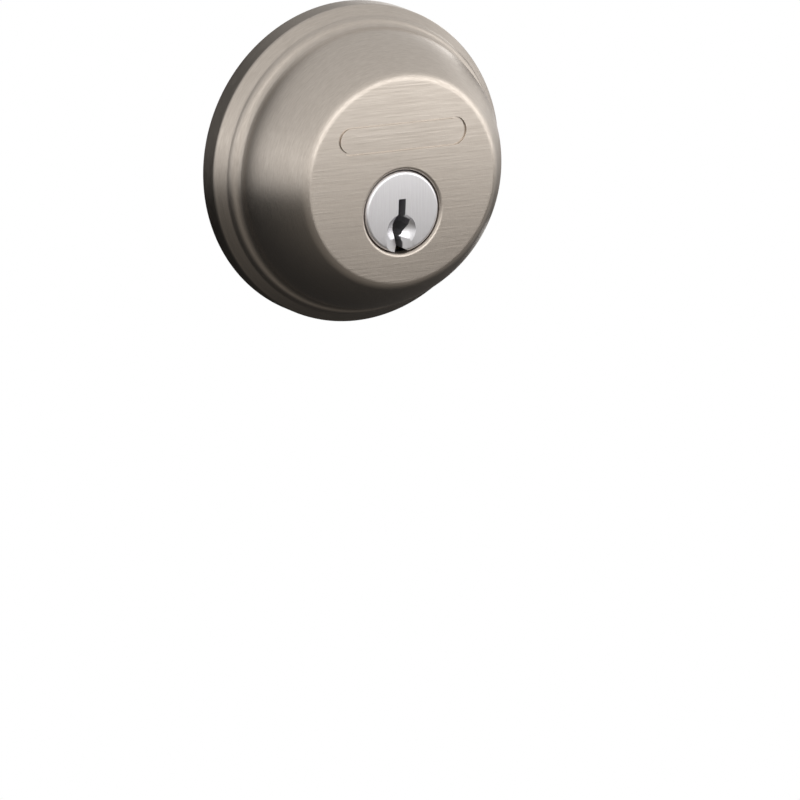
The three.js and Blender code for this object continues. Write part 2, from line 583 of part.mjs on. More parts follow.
function bushing() {
  const sleeve = barY(STEM_R + 3 * GAP + 0.7, [51.5, INSIDE_FACE_Y - 0.1], 0, SPINDLE_Z, 32);
  const flange = barY(9.4, [51.3, INSIDE_FACE_Y - INSIDE_WALL - GAP], 0, SPINDLE_Z, 32);
  return sleeve.add(flange).subtract(barY(STEM_R + GAP, [51, INSIDE_FACE_Y + 1], 0, SPINDLE_Z, 32));
}

// The lever seen from the side, in (z, y): a waist above the collar that spreads into a long rounded grip.
function leverOutline() {
  const waist = 7.5;
  const half = TURN_H / 2;
  const shape = new THREE.Shape();
  shape.moveTo(-waist, 0);
  shape.bezierCurveTo(-waist, 5, -half, 5, -half, 12);
  shape.quadraticCurveTo(-half, 17.4, -half + 6, 18.6);
  shape.quadraticCurveTo(0, 20.6, half - 6, 18.6);
  shape.quadraticCurveTo(half, 17.4, half, 12);
  shape.bezierCurveTo(half, 5, waist, 5, waist, 0);
  return shape;
}

function thumbturn() {
  const top = INSIDE_FACE_Y + GAP;
  const collar = new THREE.Path();
  collar.moveTo(0, top);
  collar.lineTo(10.4, top);
  collar.lineTo(10.6, top + 1.6);
  collar.quadraticCurveTo(10.2, top + 2.8, 8.6, top + 3.4);
  collar.lineTo(0, top + 3.6);
  const bevel = { bevelEnabled: true, bevelThickness: 1.4, bevelSize: 1.4, bevelOffset: -1.4, bevelSegments: 2 };
  const lever = extruded(leverOutline(), 4.4, { ...bevel, curveSegments: 5 });
  lever.translate(0, 0, -2.2);
  lever.applyMatrix4(new THREE.Matrix4().makeBasis(AXIS_Z, AXIS_Y, AXIS_X.clone().negate()));
  lever.translate(0, top + 2.8, SPINDLE_Z);
  const stem = barY(STEM_R, [STEM_END_Y, top + 1], 0, SPINDLE_Z, 32);
  const ringGroove = barY(STEM_R + 1, [48.95, 50.25], 0, SPINDLE_Z, 32)
    .subtract(barY(STEM_R - 1, [48, 51], 0, SPINDLE_Z, 32));
  const slot = box([-1.3, 1.3], [STEM_END_Y - 1, TAIL_END_Y + 0.6], [SPINDLE_Z - 3.4, SPINDLE_Z + 3.4]);
  const turned = spun(collar, 32).translate([0, 0, SPINDLE_Z]);
  return cut(all(turned, stem, solid(lever)), ringGroove, slot);
}

// An open spring washer: a flat ring bent into three waves.
function waveWasher() {
  const ring = new THREE.LatheGeometry(
    [[6.3, -0.15], [8.6, -0.15], [8.6, 0.15], [6.3, 0.15], [6.3, -0.15]].map(([r, y]) => new THREE.Vector2(r, y)),
    36,
  );
  const place = ring.attributes.position;
  for (let k = 0; k < place.count; k += 1) {
    const angle = Math.atan2(place.getX(k), place.getZ(k));
    place.setY(k, place.getY(k) + 0.2 * Math.cos(3 * angle) + 50.75);
  }
  ring.translate(0, 0, SPINDLE_Z);
  return solid(ring);
}

function retainingRing() {
  const ring = barY(8.2, [49.25, 49.95], 0, SPINDLE_Z, 32);
  const bore = barY(STEM_R - 0.7, [49, 50.2], 0, SPINDLE_Z, 32);
  return cut(ring, bore, box([-3.6, 3.6], [49, 50.2], [SPINDLE_Z, SPINDLE_Z + 10]));
}

function mountingBolt(z) {
  const head = barY(MOUNT_BOLT_R, [INSIDE_FACE_Y - 2.1, INSIDE_FACE_Y - 0.1], 0, z, 24, MOUNT_HEAD_R);
  const crown = barY(MOUNT_HEAD_R, [INSIDE_FACE_Y - 0.1, INSIDE_FACE_Y + 0.6], 0, z, 24, MOUNT_HEAD_R - 1.6);
  const shank = barY(MOUNT_BOLT_R, [-12, INSIDE_FACE_Y - 2], 0, z, 16);
  return cut(all(head, crown, shank), screwRecess([0, INSIDE_FACE_Y + 0.6, z], 2.4, 1.6, 'y'));
}

function buildInsideTrim() {
  put('support_plate', supportPlate(), ZINC_STEEL);
  put('inside_rose', insideRose(), SATIN_NICKEL);
  put('thumbturn', thumbturn(), SATIN_NICKEL);
  put('thumbturn_bushing', bushing(), NYLON);
  put('wave_washer', waveWasher(), SPRING_STEEL);
  put('retaining_ring', retainingRing(), DARK_STEEL);
  put('mounting_bolt_upper', mountingBolt(POST_Z), ZINC_STEEL);
  put('mounting_bolt_lower', mountingBolt(-POST_Z), ZINC_STEEL);
}

buildOutsideTrim();
buildBoltMechanism();
buildInsideTrim();

export default lock;
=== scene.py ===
import math

import bmesh
import bpy
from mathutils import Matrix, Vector


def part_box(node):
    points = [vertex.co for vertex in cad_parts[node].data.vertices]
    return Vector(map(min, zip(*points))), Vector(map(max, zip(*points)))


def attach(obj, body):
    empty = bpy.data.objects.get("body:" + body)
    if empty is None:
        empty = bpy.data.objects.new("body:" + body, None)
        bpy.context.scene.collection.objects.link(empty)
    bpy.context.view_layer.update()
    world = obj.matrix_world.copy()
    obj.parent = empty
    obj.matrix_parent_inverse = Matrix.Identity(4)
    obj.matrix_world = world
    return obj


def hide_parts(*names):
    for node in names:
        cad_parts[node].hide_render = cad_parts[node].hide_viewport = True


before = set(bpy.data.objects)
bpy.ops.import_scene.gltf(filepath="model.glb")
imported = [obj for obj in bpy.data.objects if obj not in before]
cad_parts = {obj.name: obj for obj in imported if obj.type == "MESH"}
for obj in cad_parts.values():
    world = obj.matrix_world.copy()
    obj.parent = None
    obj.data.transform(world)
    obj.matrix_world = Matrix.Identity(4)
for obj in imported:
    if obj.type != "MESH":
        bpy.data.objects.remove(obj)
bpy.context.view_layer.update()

# Shapes are made in millimetres, in the frame's own axes, and scaled to metres when they become pieces.
MM = 0.001


def reach(node):
    """The spans along X, Y and Z of a CAD node, in millimetres."""
    low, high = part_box(node)
    return [(low[i] / MM, high[i] / MM) for i in range(3)]


# ---- Places and sizes from the frame ----
ROSE_R = reach("outer_housing")[0][1]
FACE_Y = reach("outer_housing")[1][0]
DOOR = reach("inside_rose")[1][0]
INSIDE_FACE_Y = reach("inside_rose")[1][1]
BOLT_Y = DOOR / 2
_, PLUG_Y, PLUG_Z = reach("plug")
PLUG_FACE_Y = PLUG_Y[0]
PLUG_FACE_R = (PLUG_Z[1] - PLUG_Z[0]) / 2
SPINDLE = (0.0, (PLUG_Z[0] + PLUG_Z[1]) / 2)
SPINDLE_Z = SPINDLE[1]
PINS = range(1, 6)

# ---- Sizes inside the pieces, which their boxes don't give ----
GAP = 0.35
SHELL = 2.1
FACE_R = 20.1
POST_Z = 20.6
BOSS_X = 13.5
PLUG_R = 6.2
TAIL_R = 5.2
TAIL_BACK_Y = 11.4
PLUG_FIT = 0.1                          # the face is this much under PLUG_FACE_R, its hole as much over
PLUG_EDGE = 0.7                         # rounding of the plug's face, and of the lip of its hole
LOCK_GROOVE_R = 1.0
BODY_R = 9.6
BIBLE_W = 4.4
PIN_R = 1.4
BODY_SCREW_R = 1.5
DRILL_PIN_R = 0.75
TAIL_SLOT = (1.3, 3.4)                  # half width and half height of a slot that the tailpiece fits
CASE_R = 12.4
CASE_HALF = 5.4
CASE_TOP_Z = 9
SHEET = 0.85
COLLAR_FIT = 0.05
LINK_HALF = 1.7
RIVET_R = 1.5
ROLLER_R = 2.6
STEM_R = 5.8
MOUNT_BOLT_R = 2.4
SCREW_HEAD_R = 4.1

# ---- The camera, at the angle of the photograph ----
CAMERA_AZIMUTH = math.radians(-27.58)
CAMERA_ELEVATION = math.radians(12.02)
CAMERA_DISTANCE = 0.728
CAMERA_LENS = 162.0
CAMERA_SENSOR = 36.0
ORIGIN_SLOPE = (-0.01437, 0.06664)      # where the origin lies in view: right of and above the lens's axis


def make_camera():
    """A camera that sees no further than the outside rose, as a door would hide all that lies behind it."""
    camera = bpy.data.objects.new("camera", bpy.data.cameras.new("camera"))
    bpy.context.scene.collection.objects.link(camera)
    bpy.context.scene.camera = camera
    camera.data.lens = CAMERA_LENS
    camera.data.sensor_width = CAMERA_SENSOR
    level = math.cos(CAMERA_ELEVATION)
    back = Vector((math.sin(CAMERA_AZIMUTH) * level, -math.cos(CAMERA_AZIMUTH) * level,
                   math.sin(CAMERA_ELEVATION)))
    towards_origin = (-back).to_track_quat("-Z", "Y")
    tilt = Vector((0, 0, -1)).rotation_difference(Vector((*ORIGIN_SLOPE, -1)))
    camera.rotation_mode = "QUATERNION"
    camera.rotation_quaternion = towards_origin @ tilt.inverted()
    camera.location = back * CAMERA_DISTANCE
    forward = camera.rotation_quaternion @ Vector((0, 0, -1))
    rose_far_edge = ROSE_R * MM * math.hypot(forward.x, forward.z)
    camera.data.clip_start = 0.05
    camera.data.clip_end = rose_far_edge + 1 * MM - camera.location.dot(forward)


# ---- Materials ----

class Tree:
    """A node tree, with one call to add a node and fill or link its inputs."""

    def __init__(self, owner):
        owner.use_nodes = True
        self.owner = owner
        self.tree = owner.node_tree
        self.tree.nodes.clear()

    def add(self, kind, inputs=(), **settings):
        node = self.tree.nodes.new(kind)
        for key, value in settings.items():
            setattr(node, key, value)
        for key, value in dict(inputs).items():
            self.fill(node.inputs[key], value)
        return node

    def fill(self, socket, value):
        if isinstance(value, bpy.types.NodeSocket):
            self.tree.links.new(value, socket)
        else:
            socket.default_value = value

    def math(self, operation, *values):
        return self.add("ShaderNodeMath", enumerate(values), operation=operation).outputs[0]

    def vector(self, operation, *values):
        return self.add("ShaderNodeVectorMath", enumerate(values), operation=operation).outputs[0]

    def spread(self, value, low, high, from_low=0.0, from_high=1.0, kind="LINEAR"):
        inputs = {0: value, 1: from_low, 2: from_high, 3: low, 4: high}
        return self.add("ShaderNodeMapRange", inputs, interpolation_type=kind).outputs[0]

    def blend(self, factor, a, b):
        node = self.add("ShaderNodeMix", {0: factor, 6: a, 7: b}, data_type="RGBA")
        return node.outputs[2]

    def noise(self, place, detail=3.0, **inputs):
        settings = {"noise_dimensions": "4D"} if "W" in inputs else {}
        values = {"Vector": place, "Scale": 1.0, "Detail": detail, "Roughness": 0.65, **inputs}
        return self.add("ShaderNodeTexNoise", values, **settings).outputs[0]

    def place(self):
        return self.add("ShaderNodeTexCoord").outputs["Object"]

    def finish(self, shader):
        self.add("ShaderNodeOutputMaterial", {"Surface": shader.outputs[0]})
        return self.owner


def new_tree(name):
    return Tree(bpy.data.materials.new(name))


class Finish:
    """A metal's look: its light and dark colours, its roughness and how far the streaks change it."""

    def __init__(self, light, dark, rough, spread, depth, anisotropic):
        self.light = light
        self.dark = dark
        self.rough = rough
        self.spread = spread
        self.depth = depth * MM
        self.anisotropic = anisotropic


SATIN_NICKEL = Finish((0.66, 0.595, 0.53), (0.56, 0.50, 0.44), 0.34, 0.05, 0.02, 0.55)
PLUG_NICKEL = Finish((0.94, 0.93, 0.95), (0.84, 0.83, 0.85), 0.40, 0.05, 0.005, 0.1)
BOLT_NICKEL = Finish((0.72, 0.66, 0.57), (0.60, 0.54, 0.46), 0.30, 0.05, 0.008, 0.45)
BRASS = Finish((0.86, 0.66, 0.36), (0.80, 0.60, 0.31), 0.34, 0.04, 0.002, 0.3)
ZINC = Finish((0.74, 0.75, 0.77), (0.62, 0.63, 0.66), 0.36, 0.07, 0.010, 0.2)
HARD_STEEL = Finish((0.20, 0.20, 0.21), (0.10, 0.10, 0.105), 0.38, 0.08, 0.006, 0.3)
SPRING_STEEL = Finish((0.56, 0.56, 0.58), (0.40, 0.40, 0.42), 0.26, 0.06, 0.004, 0.4)

AXES = {"X": (1, 0, 0), "Y": (0, 1, 0), "Z": (0, 0, 1)}


def tangent(t, vector):
    """The direction in which the brushing spreads a highlight, across its lines."""
    node = t.add("ShaderNodeVectorTransform", {0: vector}, vector_type="VECTOR",
                 convert_from="OBJECT", convert_to="WORLD")
    return node.outputs[0]


def turned_streaks(t, axis, centre, along=14.0, across=4200.0):
    """Noise drawn out round an axis: brushing done on a lathe. Also gives the radius and the way along."""
    u, w, v = {"X": (1, 0, 2), "Y": (0, 1, 2), "Z": (0, 2, 1)}[axis]
    split = t.add("ShaderNodeSeparateXYZ", {0: t.place()}).outputs
    flat = t.add("ShaderNodeCombineXYZ", {
        0: t.math("SUBTRACT", split[u], centre[0] * MM),
        1: t.math("SUBTRACT", split[v], centre[1] * MM),
    }).outputs[0]
    radius = t.add("ShaderNodeVectorMath", {0: flat}, operation="LENGTH").outputs[1]
    turn = t.add("ShaderNodeSeparateXYZ", {0: t.vector("NORMALIZE", flat)}).outputs
    around = t.add("ShaderNodeCombineXYZ", {
        0: t.math("MULTIPLY", turn[0], along),
        1: t.math("MULTIPLY", turn[1], along),
        2: t.math("MULTIPLY", radius, across),
    }).outputs[0]
    return t.noise(around, W=t.math("MULTIPLY", split[w], across)), radius, split[w]


def straight_streaks(t, line, along, across):
    """Noise drawn out along one axis: brushing done on a belt."""
    scale = [along if axis == line else across for axis in "XYZ"]
    return t.noise(t.vector("MULTIPLY", t.place(), scale))


def metal_shader(t, finish, streaks, across):
    """A worked metal: the streaks tint it, roughen it and stand up a little from it."""
    colour = t.blend(t.spread(streaks, 0, 1, 0.3, 0.7), (*finish.dark, 1), (*finish.light, 1))
    bump = t.add("ShaderNodeBump", {"Height": streaks, "Distance": finish.depth, "Strength": 1.0})
    rough, spread = finish.rough, finish.spread
    return t.add("ShaderNodeBsdfPrincipled", {
        "Base Color": colour,
        "Metallic": 1.0,
        "Roughness": t.spread(streaks, rough + spread, rough - spread, 0.3, 0.7),
        "Anisotropic": finish.anisotropic,
        "Tangent": across,
        "Normal": bump.outputs[0],
    })


def turned_metal(name, finish, axis="Y", centre=SPINDLE, along=6.0, across=3000.0):
    t = new_tree(name)
    streaks, _, _ = turned_streaks(t, axis, centre, along, across)
    return t.finish(metal_shader(t, finish, streaks, tangent(t, AXES[axis])))


def belt_metal(name, finish, line="Z", across="X", along=150.0, fine=4200.0):
    t = new_tree(name)
    streaks = straight_streaks(t, line, along, fine)
    return t.finish(metal_shader(t, finish, streaks, tangent(t, AXES[across])))


def tumbled(t):
    """Cloudy patches over a fine grain, as tumbling leaves them."""
    clouds = t.noise(t.place(), 2.0, Scale=220.0)
    grain = t.noise(t.place(), 2.0, Scale=2600.0)
    return t.math("MULTIPLY_ADD", grain, 0.5, t.math("MULTIPLY", clouds, 0.5))


def plated_metal(name, finish):
    """Sheet or a forging, tumbled and plated."""
    t = new_tree(name)
    return t.finish(metal_shader(t, finish, tumbled(t), tangent(t, AXES["Z"])))


def body_brass(name, shaded_r):
    """Cast brass, painted black in the bore and round its mouth, out to a radius from the spindle: painted
    shade for the shadow inside the keyway.
    """
    t = new_tree(name)
    _, radius, along = turned_streaks(t, "Y", SPINDLE)
    shader = metal_shader(t, BRASS, tumbled(t), tangent(t, AXES["Z"]))
    # Painted shade: masks for the bore and the body's front round its mouth, where the keyway lies in shadow.
    bore_shade = t.spread(radius, 1, 0, (PLUG_R + 0.5) * MM, (PLUG_R + 0.7) * MM)
    mouth_shade = t.math("MULTIPLY", t.spread(radius, 1, 0, (shaded_r - 0.4) * MM, shaded_r * MM),
                      t.spread(along, 1, 0, (BODY_Y[0] + 0.2) * MM, (BODY_Y[0] + 0.5) * MM))
    # Painted shade: a near-black colour that stands in for the shadow in the bore and round its mouth.
    painted_shade = t.add("ShaderNodeBsdfPrincipled", {"Base Color": (0.012, 0.011, 0.010, 1), "Roughness": 0.6})
    return t.finish(t.add("ShaderNodeMixShader", {
        0: t.math("MAXIMUM", bore_shade, mouth_shade), 1: shader.outputs[0], 2: painted_shade.outputs[0],
    }))


def moulded_nylon(name):
    """Natural nylon: milky, a little see-through, with a fine orange-peel skin."""
    t = new_tree(name)
    skin = t.noise(t.place(), 3.0, Scale=1800.0)
    clouds = t.noise(t.place(), 2.0, Scale=260.0)
    colour = t.blend(clouds, (0.78, 0.76, 0.70, 1), (0.85, 0.84, 0.79, 1))
    bump = t.add("ShaderNodeBump", {"Height": skin, "Distance": 0.02 * MM, "Strength": 1.0})
    return t.finish(t.add("ShaderNodeBsdfPrincipled", {
        "Base Color": colour,
        "Roughness": t.spread(skin, 0.42, 0.55),
        "Subsurface Weight": 0.25,
        "Subsurface Scale": 1 * MM,
        "Normal": bump.outputs[0],
    }))


def trim_nickel(name, face_radius, face_y, facing):
    """Satin nickel on a trim piece: brushed round its walls, and straight across its flat face."""
    t = new_tree(name)
    turned, radius, along = turned_streaks(t, "Y", (0, 0))
    belt = straight_streaks(t, "X", 110.0, 2400.0)
    on_face = t.spread(radius, 1, 0, (face_radius - 0.1) * MM, (face_radius + 0.3) * MM)
    in_front = t.spread(t.math("MULTIPLY", along, facing), 0, 1,
                        (face_y * facing - 0.5) * MM, (face_y * facing - 0.2) * MM)
    flat = t.math("MULTIPLY", on_face, in_front)
    streaks = t.add("ShaderNodeMix", {0: flat, 2: turned, 3: belt}).outputs[0]
    across = t.add("ShaderNodeCombineXYZ", {1: t.math("SUBTRACT", 1.0, flat), 2: flat}).outputs[0]
    return t.finish(metal_shader(t, SATIN_NICKEL, streaks, tangent(t, across)))


# ---- Closed shapes, in millimetres ----

def at(axis, u, w, v):
    """The point w along an axis, and (u, v) across it in the order of the other two axes."""
    return {"X": (w, u, v), "Y": (u, w, v), "Z": (u, v, w)}[axis]


def shape(fill):
    """An object with the closed mesh that fill(bm) makes."""
    mesh = bpy.data.meshes.new("shape")
    bm = bmesh.new()
    fill(bm)
    bmesh.ops.recalc_face_normals(bm, faces=bm.faces)
    bm.to_mesh(mesh)
    bm.free()
    made = bpy.data.objects.new("shape", mesh)
    bpy.context.scene.collection.objects.link(made)
    return made


def skin(bm, rings, closed):
    """Quads between rings of vertices; a ring of one vertex closes a fan."""
    pairs = zip(rings, rings[1:] + rings[:1]) if closed else zip(rings, rings[1:])
    for a, b in pairs:
        if len(a) == 1 and len(b) == 1:
            continue
        for k in range(max(len(a), len(b))):
            corners = [a[k % len(a)], a[(k + 1) % len(a)], b[(k + 1) % len(b)], b[k % len(b)]]
            bm.faces.new(list(dict.fromkeys(corners)))


def turned(profile, axis="Y", centre=(0.0, 0.0), sides=128, relief=None):
    """Spins a closed profile of (radius, way along) about an axis. relief(turn, r, w) moves it outwards."""
    def fill(bm):
        rings = []
        for r, w in profile:
            ring = []
            for k in range(sides if r > 1e-6 else 1):
                turn = k / sides
                far = r + (relief(turn, r, w) if relief and r > 1e-6 else 0)
                angle = 2 * math.pi * turn
                ring.append(bm.verts.new(at(axis, centre[0] + far * math.sin(angle), w,
                                            centre[1] + far * math.cos(angle))))
            rings.append(ring)
        skin(bm, rings, closed=True)
    return shape(fill)


def eased(points, radius, steps=4):
    """A closed outline with each corner rounded off."""
    found = []
    count = len(points)
    for k in range(count):
        before, corner, after = (Vector(points[(k + d) % count]) for d in (-1, 0, 1))
        cut_back = min(radius, (before - corner).length * 0.45, (after - corner).length * 0.45)
        start = corner + (before - corner).normalized() * cut_back
        end = corner + (after - corner).normalized() * cut_back
        found.append(tuple(start))
        found += bezier(start, corner, end, steps=steps)
    return found


def bar(r, span, axis="Y", centre=(0.0, 0.0), sides=96, edge=0.0):
    """A round bar, with its two edges chamfered by edge."""
    a, b = span
    profile = [(0, a), (r - edge, a), (r, a + edge), (r, b - edge), (r - edge, b), (0, b)]
    if not edge:
        profile = [(0, a), (r, a), (r, b), (0, b)]
    return turned(profile, axis, centre, sides)


def through(span):
    """A span with 1 mm more at each end, for a tool that cuts right through."""
    return (span[0] - 1, span[1] + 1)


def cone(r_start, r_end, span, axis="Y", centre=(0.0, 0.0), sides=96):
    return turned([(0, span[0]), (r_start, span[0]), (r_end, span[1]), (0, span[1])], axis, centre, sides)


def tube(r_in, r_out, span, axis="Y", centre=(0.0, 0.0), sides=128, edge=0.15):
    corners = [(r_in, span[0]), (r_out, span[0]), (r_out, span[1]), (r_in, span[1])]
    return turned(eased(corners, edge, 3), axis, centre, sides)


def prism(outline, span, axis="Y", end_scale=1.0, about=(0.0, 0.0)):
    """An outline across an axis, drawn out along it; the far end may be scaled about a point."""
    def fill(bm):
        near = [bm.verts.new(at(axis, u, span[0], v)) for u, v in outline]
        far = [bm.verts.new(at(axis, about[0] + (u - about[0]) * end_scale, span[1],
                               about[1] + (v - about[1]) * end_scale)) for u, v in outline]
        skin(bm, [near, far], closed=False)
        bm.faces.new(near)
        bm.faces.new(far)
    return shape(fill)


def block(x, y, z):
    corners = [(x[0], z[0]), (x[1], z[0]), (x[1], z[1]), (x[0], z[1])]
    return prism(corners, y)


def rounded_rectangle(w, h, r, centre=(0.0, 0.0), steps=10):
    points = []
    for quarter, (sx, sy) in enumerate([(1, 1), (-1, 1), (-1, -1), (1, -1)]):
        for k in range(steps + 1):
            angle = math.pi / 2 * (quarter + k / steps)
            points.append((centre[0] + sx * (w / 2 - r) + r * math.cos(angle),
                           centre[1] + sy * (h / 2 - r) + r * math.sin(angle)))
    return points


def sector(r_in, r_out, start, end, centre=SPINDLE, steps=24):
    """A piece of a ring, from one angle to another, where 0 is up and positive turns towards +X."""
    turns = [math.radians(start + (end - start) * k / steps) for k in range(steps + 1)]
    outer = [(centre[0] + r_out * math.sin(a), centre[1] + r_out * math.cos(a)) for a in turns]
    inner = [(centre[0] + r_in * math.sin(a), centre[1] + r_in * math.cos(a)) for a in reversed(turns)]
    return outer + inner


def bezier(*points, steps=10):
    """The points of a Bezier curve of any order, without its first point."""
    found = []
    for k in range(1, steps + 1):
        row = [Vector(p) for p in points]
        while len(row) > 1:
            row = [a.lerp(b, k / steps) for a, b in zip(row, row[1:])]
        found.append(tuple(row[0]))
    return found


def combine(body, operation, tools):
    for tool in tools:
        step = body.modifiers.new("combine", "BOOLEAN")
        step.operation = operation
        step.solver = "EXACT"
        step.object = tool
    bake(body)
    for tool in tools:
        bpy.data.meshes.remove(tool.data)
    return body


def cut(body, *tools):
    return combine(body, "DIFFERENCE", tools)


def join(body, *others):
    return combine(body, "UNION", others)


def bake(body):
    """Replaces an object's mesh with the one that its modifiers make."""
    graph = bpy.context.evaluated_depsgraph_get()
    baked = bpy.data.meshes.new_from_object(body.evaluated_get(graph))
    old = body.data
    body.modifiers.clear()
    body.data = baked
    bpy.data.meshes.remove(old)


def soften(body, width, segments=2, angle=35):
    """Rounds off the sharp edges of a shape."""
    step = body.modifiers.new("soften", "BEVEL")
    step.width = width
    step.segments = segments
    step.limit_method = "ANGLE"
    step.angle_limit = math.radians(angle)
    step.harden_normals = False
    bake(body)
    return body


SHARP_ANGLE = math.radians(32)


def piece(node, what, body, material, rides):
    """Makes a shape a piece of the object: scaled, smooth except at sharp edges, standing for a CAD node."""
    body.name = f"{node}_{what}"
    mesh = body.data
    mesh.name = body.name
    for vertex in mesh.vertices:
        vertex.co *= MM
    mesh.materials.clear()
    mesh.materials.append(material)
    mesh.polygons.foreach_set("use_smooth", [True] * len(mesh.polygons))
    mesh.set_sharp_from_angle(angle=SHARP_ANGLE)
    level = body.modifiers.new("level", "WEIGHTED_NORMAL")
    level.keep_sharp = True
    bake(body)
    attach(body, rides)
    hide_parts(node)


# ---- Screws ----

def thread(pitch, depth, start, end):
    """A relief for turned(): a V thread that fades in and out over one pitch at its two ends."""
    def relief(turn, r, w):
        if not start < w < end:
            return 0
        fade = min(1, (w - start) / pitch, (end - w) / pitch)
        phase = (w / pitch - turn) % 1
        return -depth * fade * abs(2 * phase - 1)
    return relief


def fine(profile, start, end, step):
    """Adds points to a profile between two ways along, for a thread to move."""
    found = []
    for (r0, w0), (r1, w1) in zip(profile, profile[1:]):
        found.append((r0, w0))
        if r0 > 0 and r1 > 0 and max(w0, w1) > start and min(w0, w1) < end and abs(w1 - w0) > step:
            count = math.ceil(abs(w1 - w0) / step)
            found += [(r0 + (r1 - r0) * k / count, w0 + (w1 - w0) * k / count) for k in range(1, count)]
    return found + [profile[-1]]


def cross_recess(size, depth, top, axis, centre, out):
    """The tapered cross of a screw's drive. out is the way that the head faces, 1 or -1."""
    arm = size / 5
    half = [(arm, size), (arm, arm), (size, arm)]
    corners = half + [(u, -v) for u, v in reversed(half)]
    corners += [(-u, -v) for u, v in half] + [(-u, v) for u, v in reversed(half)]
    outline = [(centre[0] + u, centre[1] + v) for u, v in corners]
    return prism(eased(outline, 0.12, 2), (top + 0.3 * out, top - depth * out), axis, 0.42, centre)


# ---- The trim's outlines, as (radius, height above the door) ----

def rim_outline():
    """The stepped rim of both roses: side wall, bevel, bead and groove, up to the foot of the dome."""
    r = ROSE_R
    points = [(r - SHELL, 0), (r - 0.25, 0), (r, 0.25), (r - 0.12, 4.2)]
    points += bezier((r - 0.12, 4.2), (r - 0.16, 4.75), (r - 0.5, 5.0), steps=6)
    points += bezier((r - 0.5, 5.0), (r - 1.3, 5.9), (r - 1.95, 6.55), steps=5)
    points += bezier((r - 1.95, 6.55), (r - 2.13, 6.74), (r - 2.19, 7.02), steps=4)
    points += bezier((r - 2.19, 7.02), (r - 2.39, 7.78), (r - 2.98, 8.14), steps=8)
    points += bezier((r - 2.98, 8.14), (r - 3.6, 8.45), (r - 3.95, 9.1), steps=8)
    return points


def lipped_hole(r, lip, face, depth, facing, centre):
    """A tool for a hole whose mouth is rounded. facing is the way that the face looks along Y, 1 or -1."""
    steps = [(r + lip + 0.2, face + facing), (r + lip, face)]
    steps += [(r + lip * (1 - math.sin(a)), face - facing * lip * (1 - math.cos(a)))
              for a in (math.radians(d) for d in range(15, 91, 15))]
    steps += [(r, face - facing * depth), (0, face - facing * depth), (0, face + facing)]
    return turned(steps, "Y", centre)


# ---- Outside trim ----

EMBLEM_Z = 9.2
EMBLEM_W = 28.4
EMBLEM_H = 5.8
EMBLEM_LINE = 0.46
EMBLEM_DEPTH = 0.42


def emblem_groove():
    """A plain engraved ring with round ends, above the plug."""
    centre = (0, EMBLEM_Z)
    inner_w, inner_h = EMBLEM_W - 2 * EMBLEM_LINE, EMBLEM_H - 2 * EMBLEM_LINE
    outside = prism(rounded_rectangle(EMBLEM_W, EMBLEM_H, EMBLEM_H / 2 - 0.01, centre),
                    (FACE_Y - 1, FACE_Y + EMBLEM_DEPTH))
    inside = prism(rounded_rectangle(inner_w, inner_h, inner_h / 2 - 0.01, centre), (FACE_Y - 2, FACE_Y + 1))
    return cut(outside, inside)


def outer_housing():
    face = -FACE_Y
    foot = ROSE_R - 4.15
    points = rim_outline()
    points += bezier((ROSE_R - 3.95, 9.1), (ROSE_R - 4.05, 9.5), (foot, 10.0), steps=4)
    points += bezier((foot, 10.0), (28.1, 14.6), (FACE_R + 4.1, face - 3.4), (FACE_R + 1.7, face - 0.76),
                     steps=28)
    points += bezier((FACE_R + 1.7, face - 0.76), (FACE_R + 0.87, face), (FACE_R, face), steps=10)
    points += [(FACE_R - 0.6, face), (0, face), (0, face - SHELL), (18.4, face - SHELL), (26.2, 8.2),
               (ROSE_R - SHELL, 3.4)]
    shell = turned([(r, -h) for r, h in points], sides=192)
    posts = [bar(4.2, (-17.5, 0), centre=(0, z), edge=0.2) for z in (-POST_Z, POST_Z)]
    bosses = [bar(3.4, (FACE_Y + 1, -3.35), centre=(x, 0), edge=0.2) for x in (-BOSS_X, BOSS_X)]
    post_holes = [bar(MOUNT_BOLT_R + GAP, (-14, 1), centre=(0, z)) for z in (-POST_Z, POST_Z)]
    boss_holes = [bar(BODY_SCREW_R + GAP, (-13, 0), centre=(x, 0)) for x in (-BOSS_X, BOSS_X)]
    plug_hole = lipped_hole(PLUG_FACE_R + PLUG_FIT, PLUG_EDGE, FACE_Y, 4, -1, SPINDLE)
    return cut(join(shell, *posts, *bosses), *post_holes, *boss_holes, plug_hole, emblem_groove())


def guard_plate():
    x, y, _ = reach("guard_plate")
    notches = [bar(3.75, through(y), centre=(side, 0)) for side in (-BOSS_X, BOSS_X)]
    plug_hole = bar(PLUG_FACE_R + GAP, through(y), centre=SPINDLE)
    return soften(cut(bar(x[1], y), plug_hole, *notches), 0.15)


def chamber_y(pin):
    low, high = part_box(f"key_pin_{pin}")
    return (low.y + high.y) / 2 / MM


def chambers(low, high):
    """Tools for the pins' chambers, between two heights."""
    return [bar(PIN_R + GAP, (low, high), "Z", (0, chamber_y(pin)), 48) for pin in PINS]


BODY_X, BODY_Y, BODY_Z = reach("cylinder_body")
COVER_X, COVER_Y, COVER_Z = reach("chamber_cover")


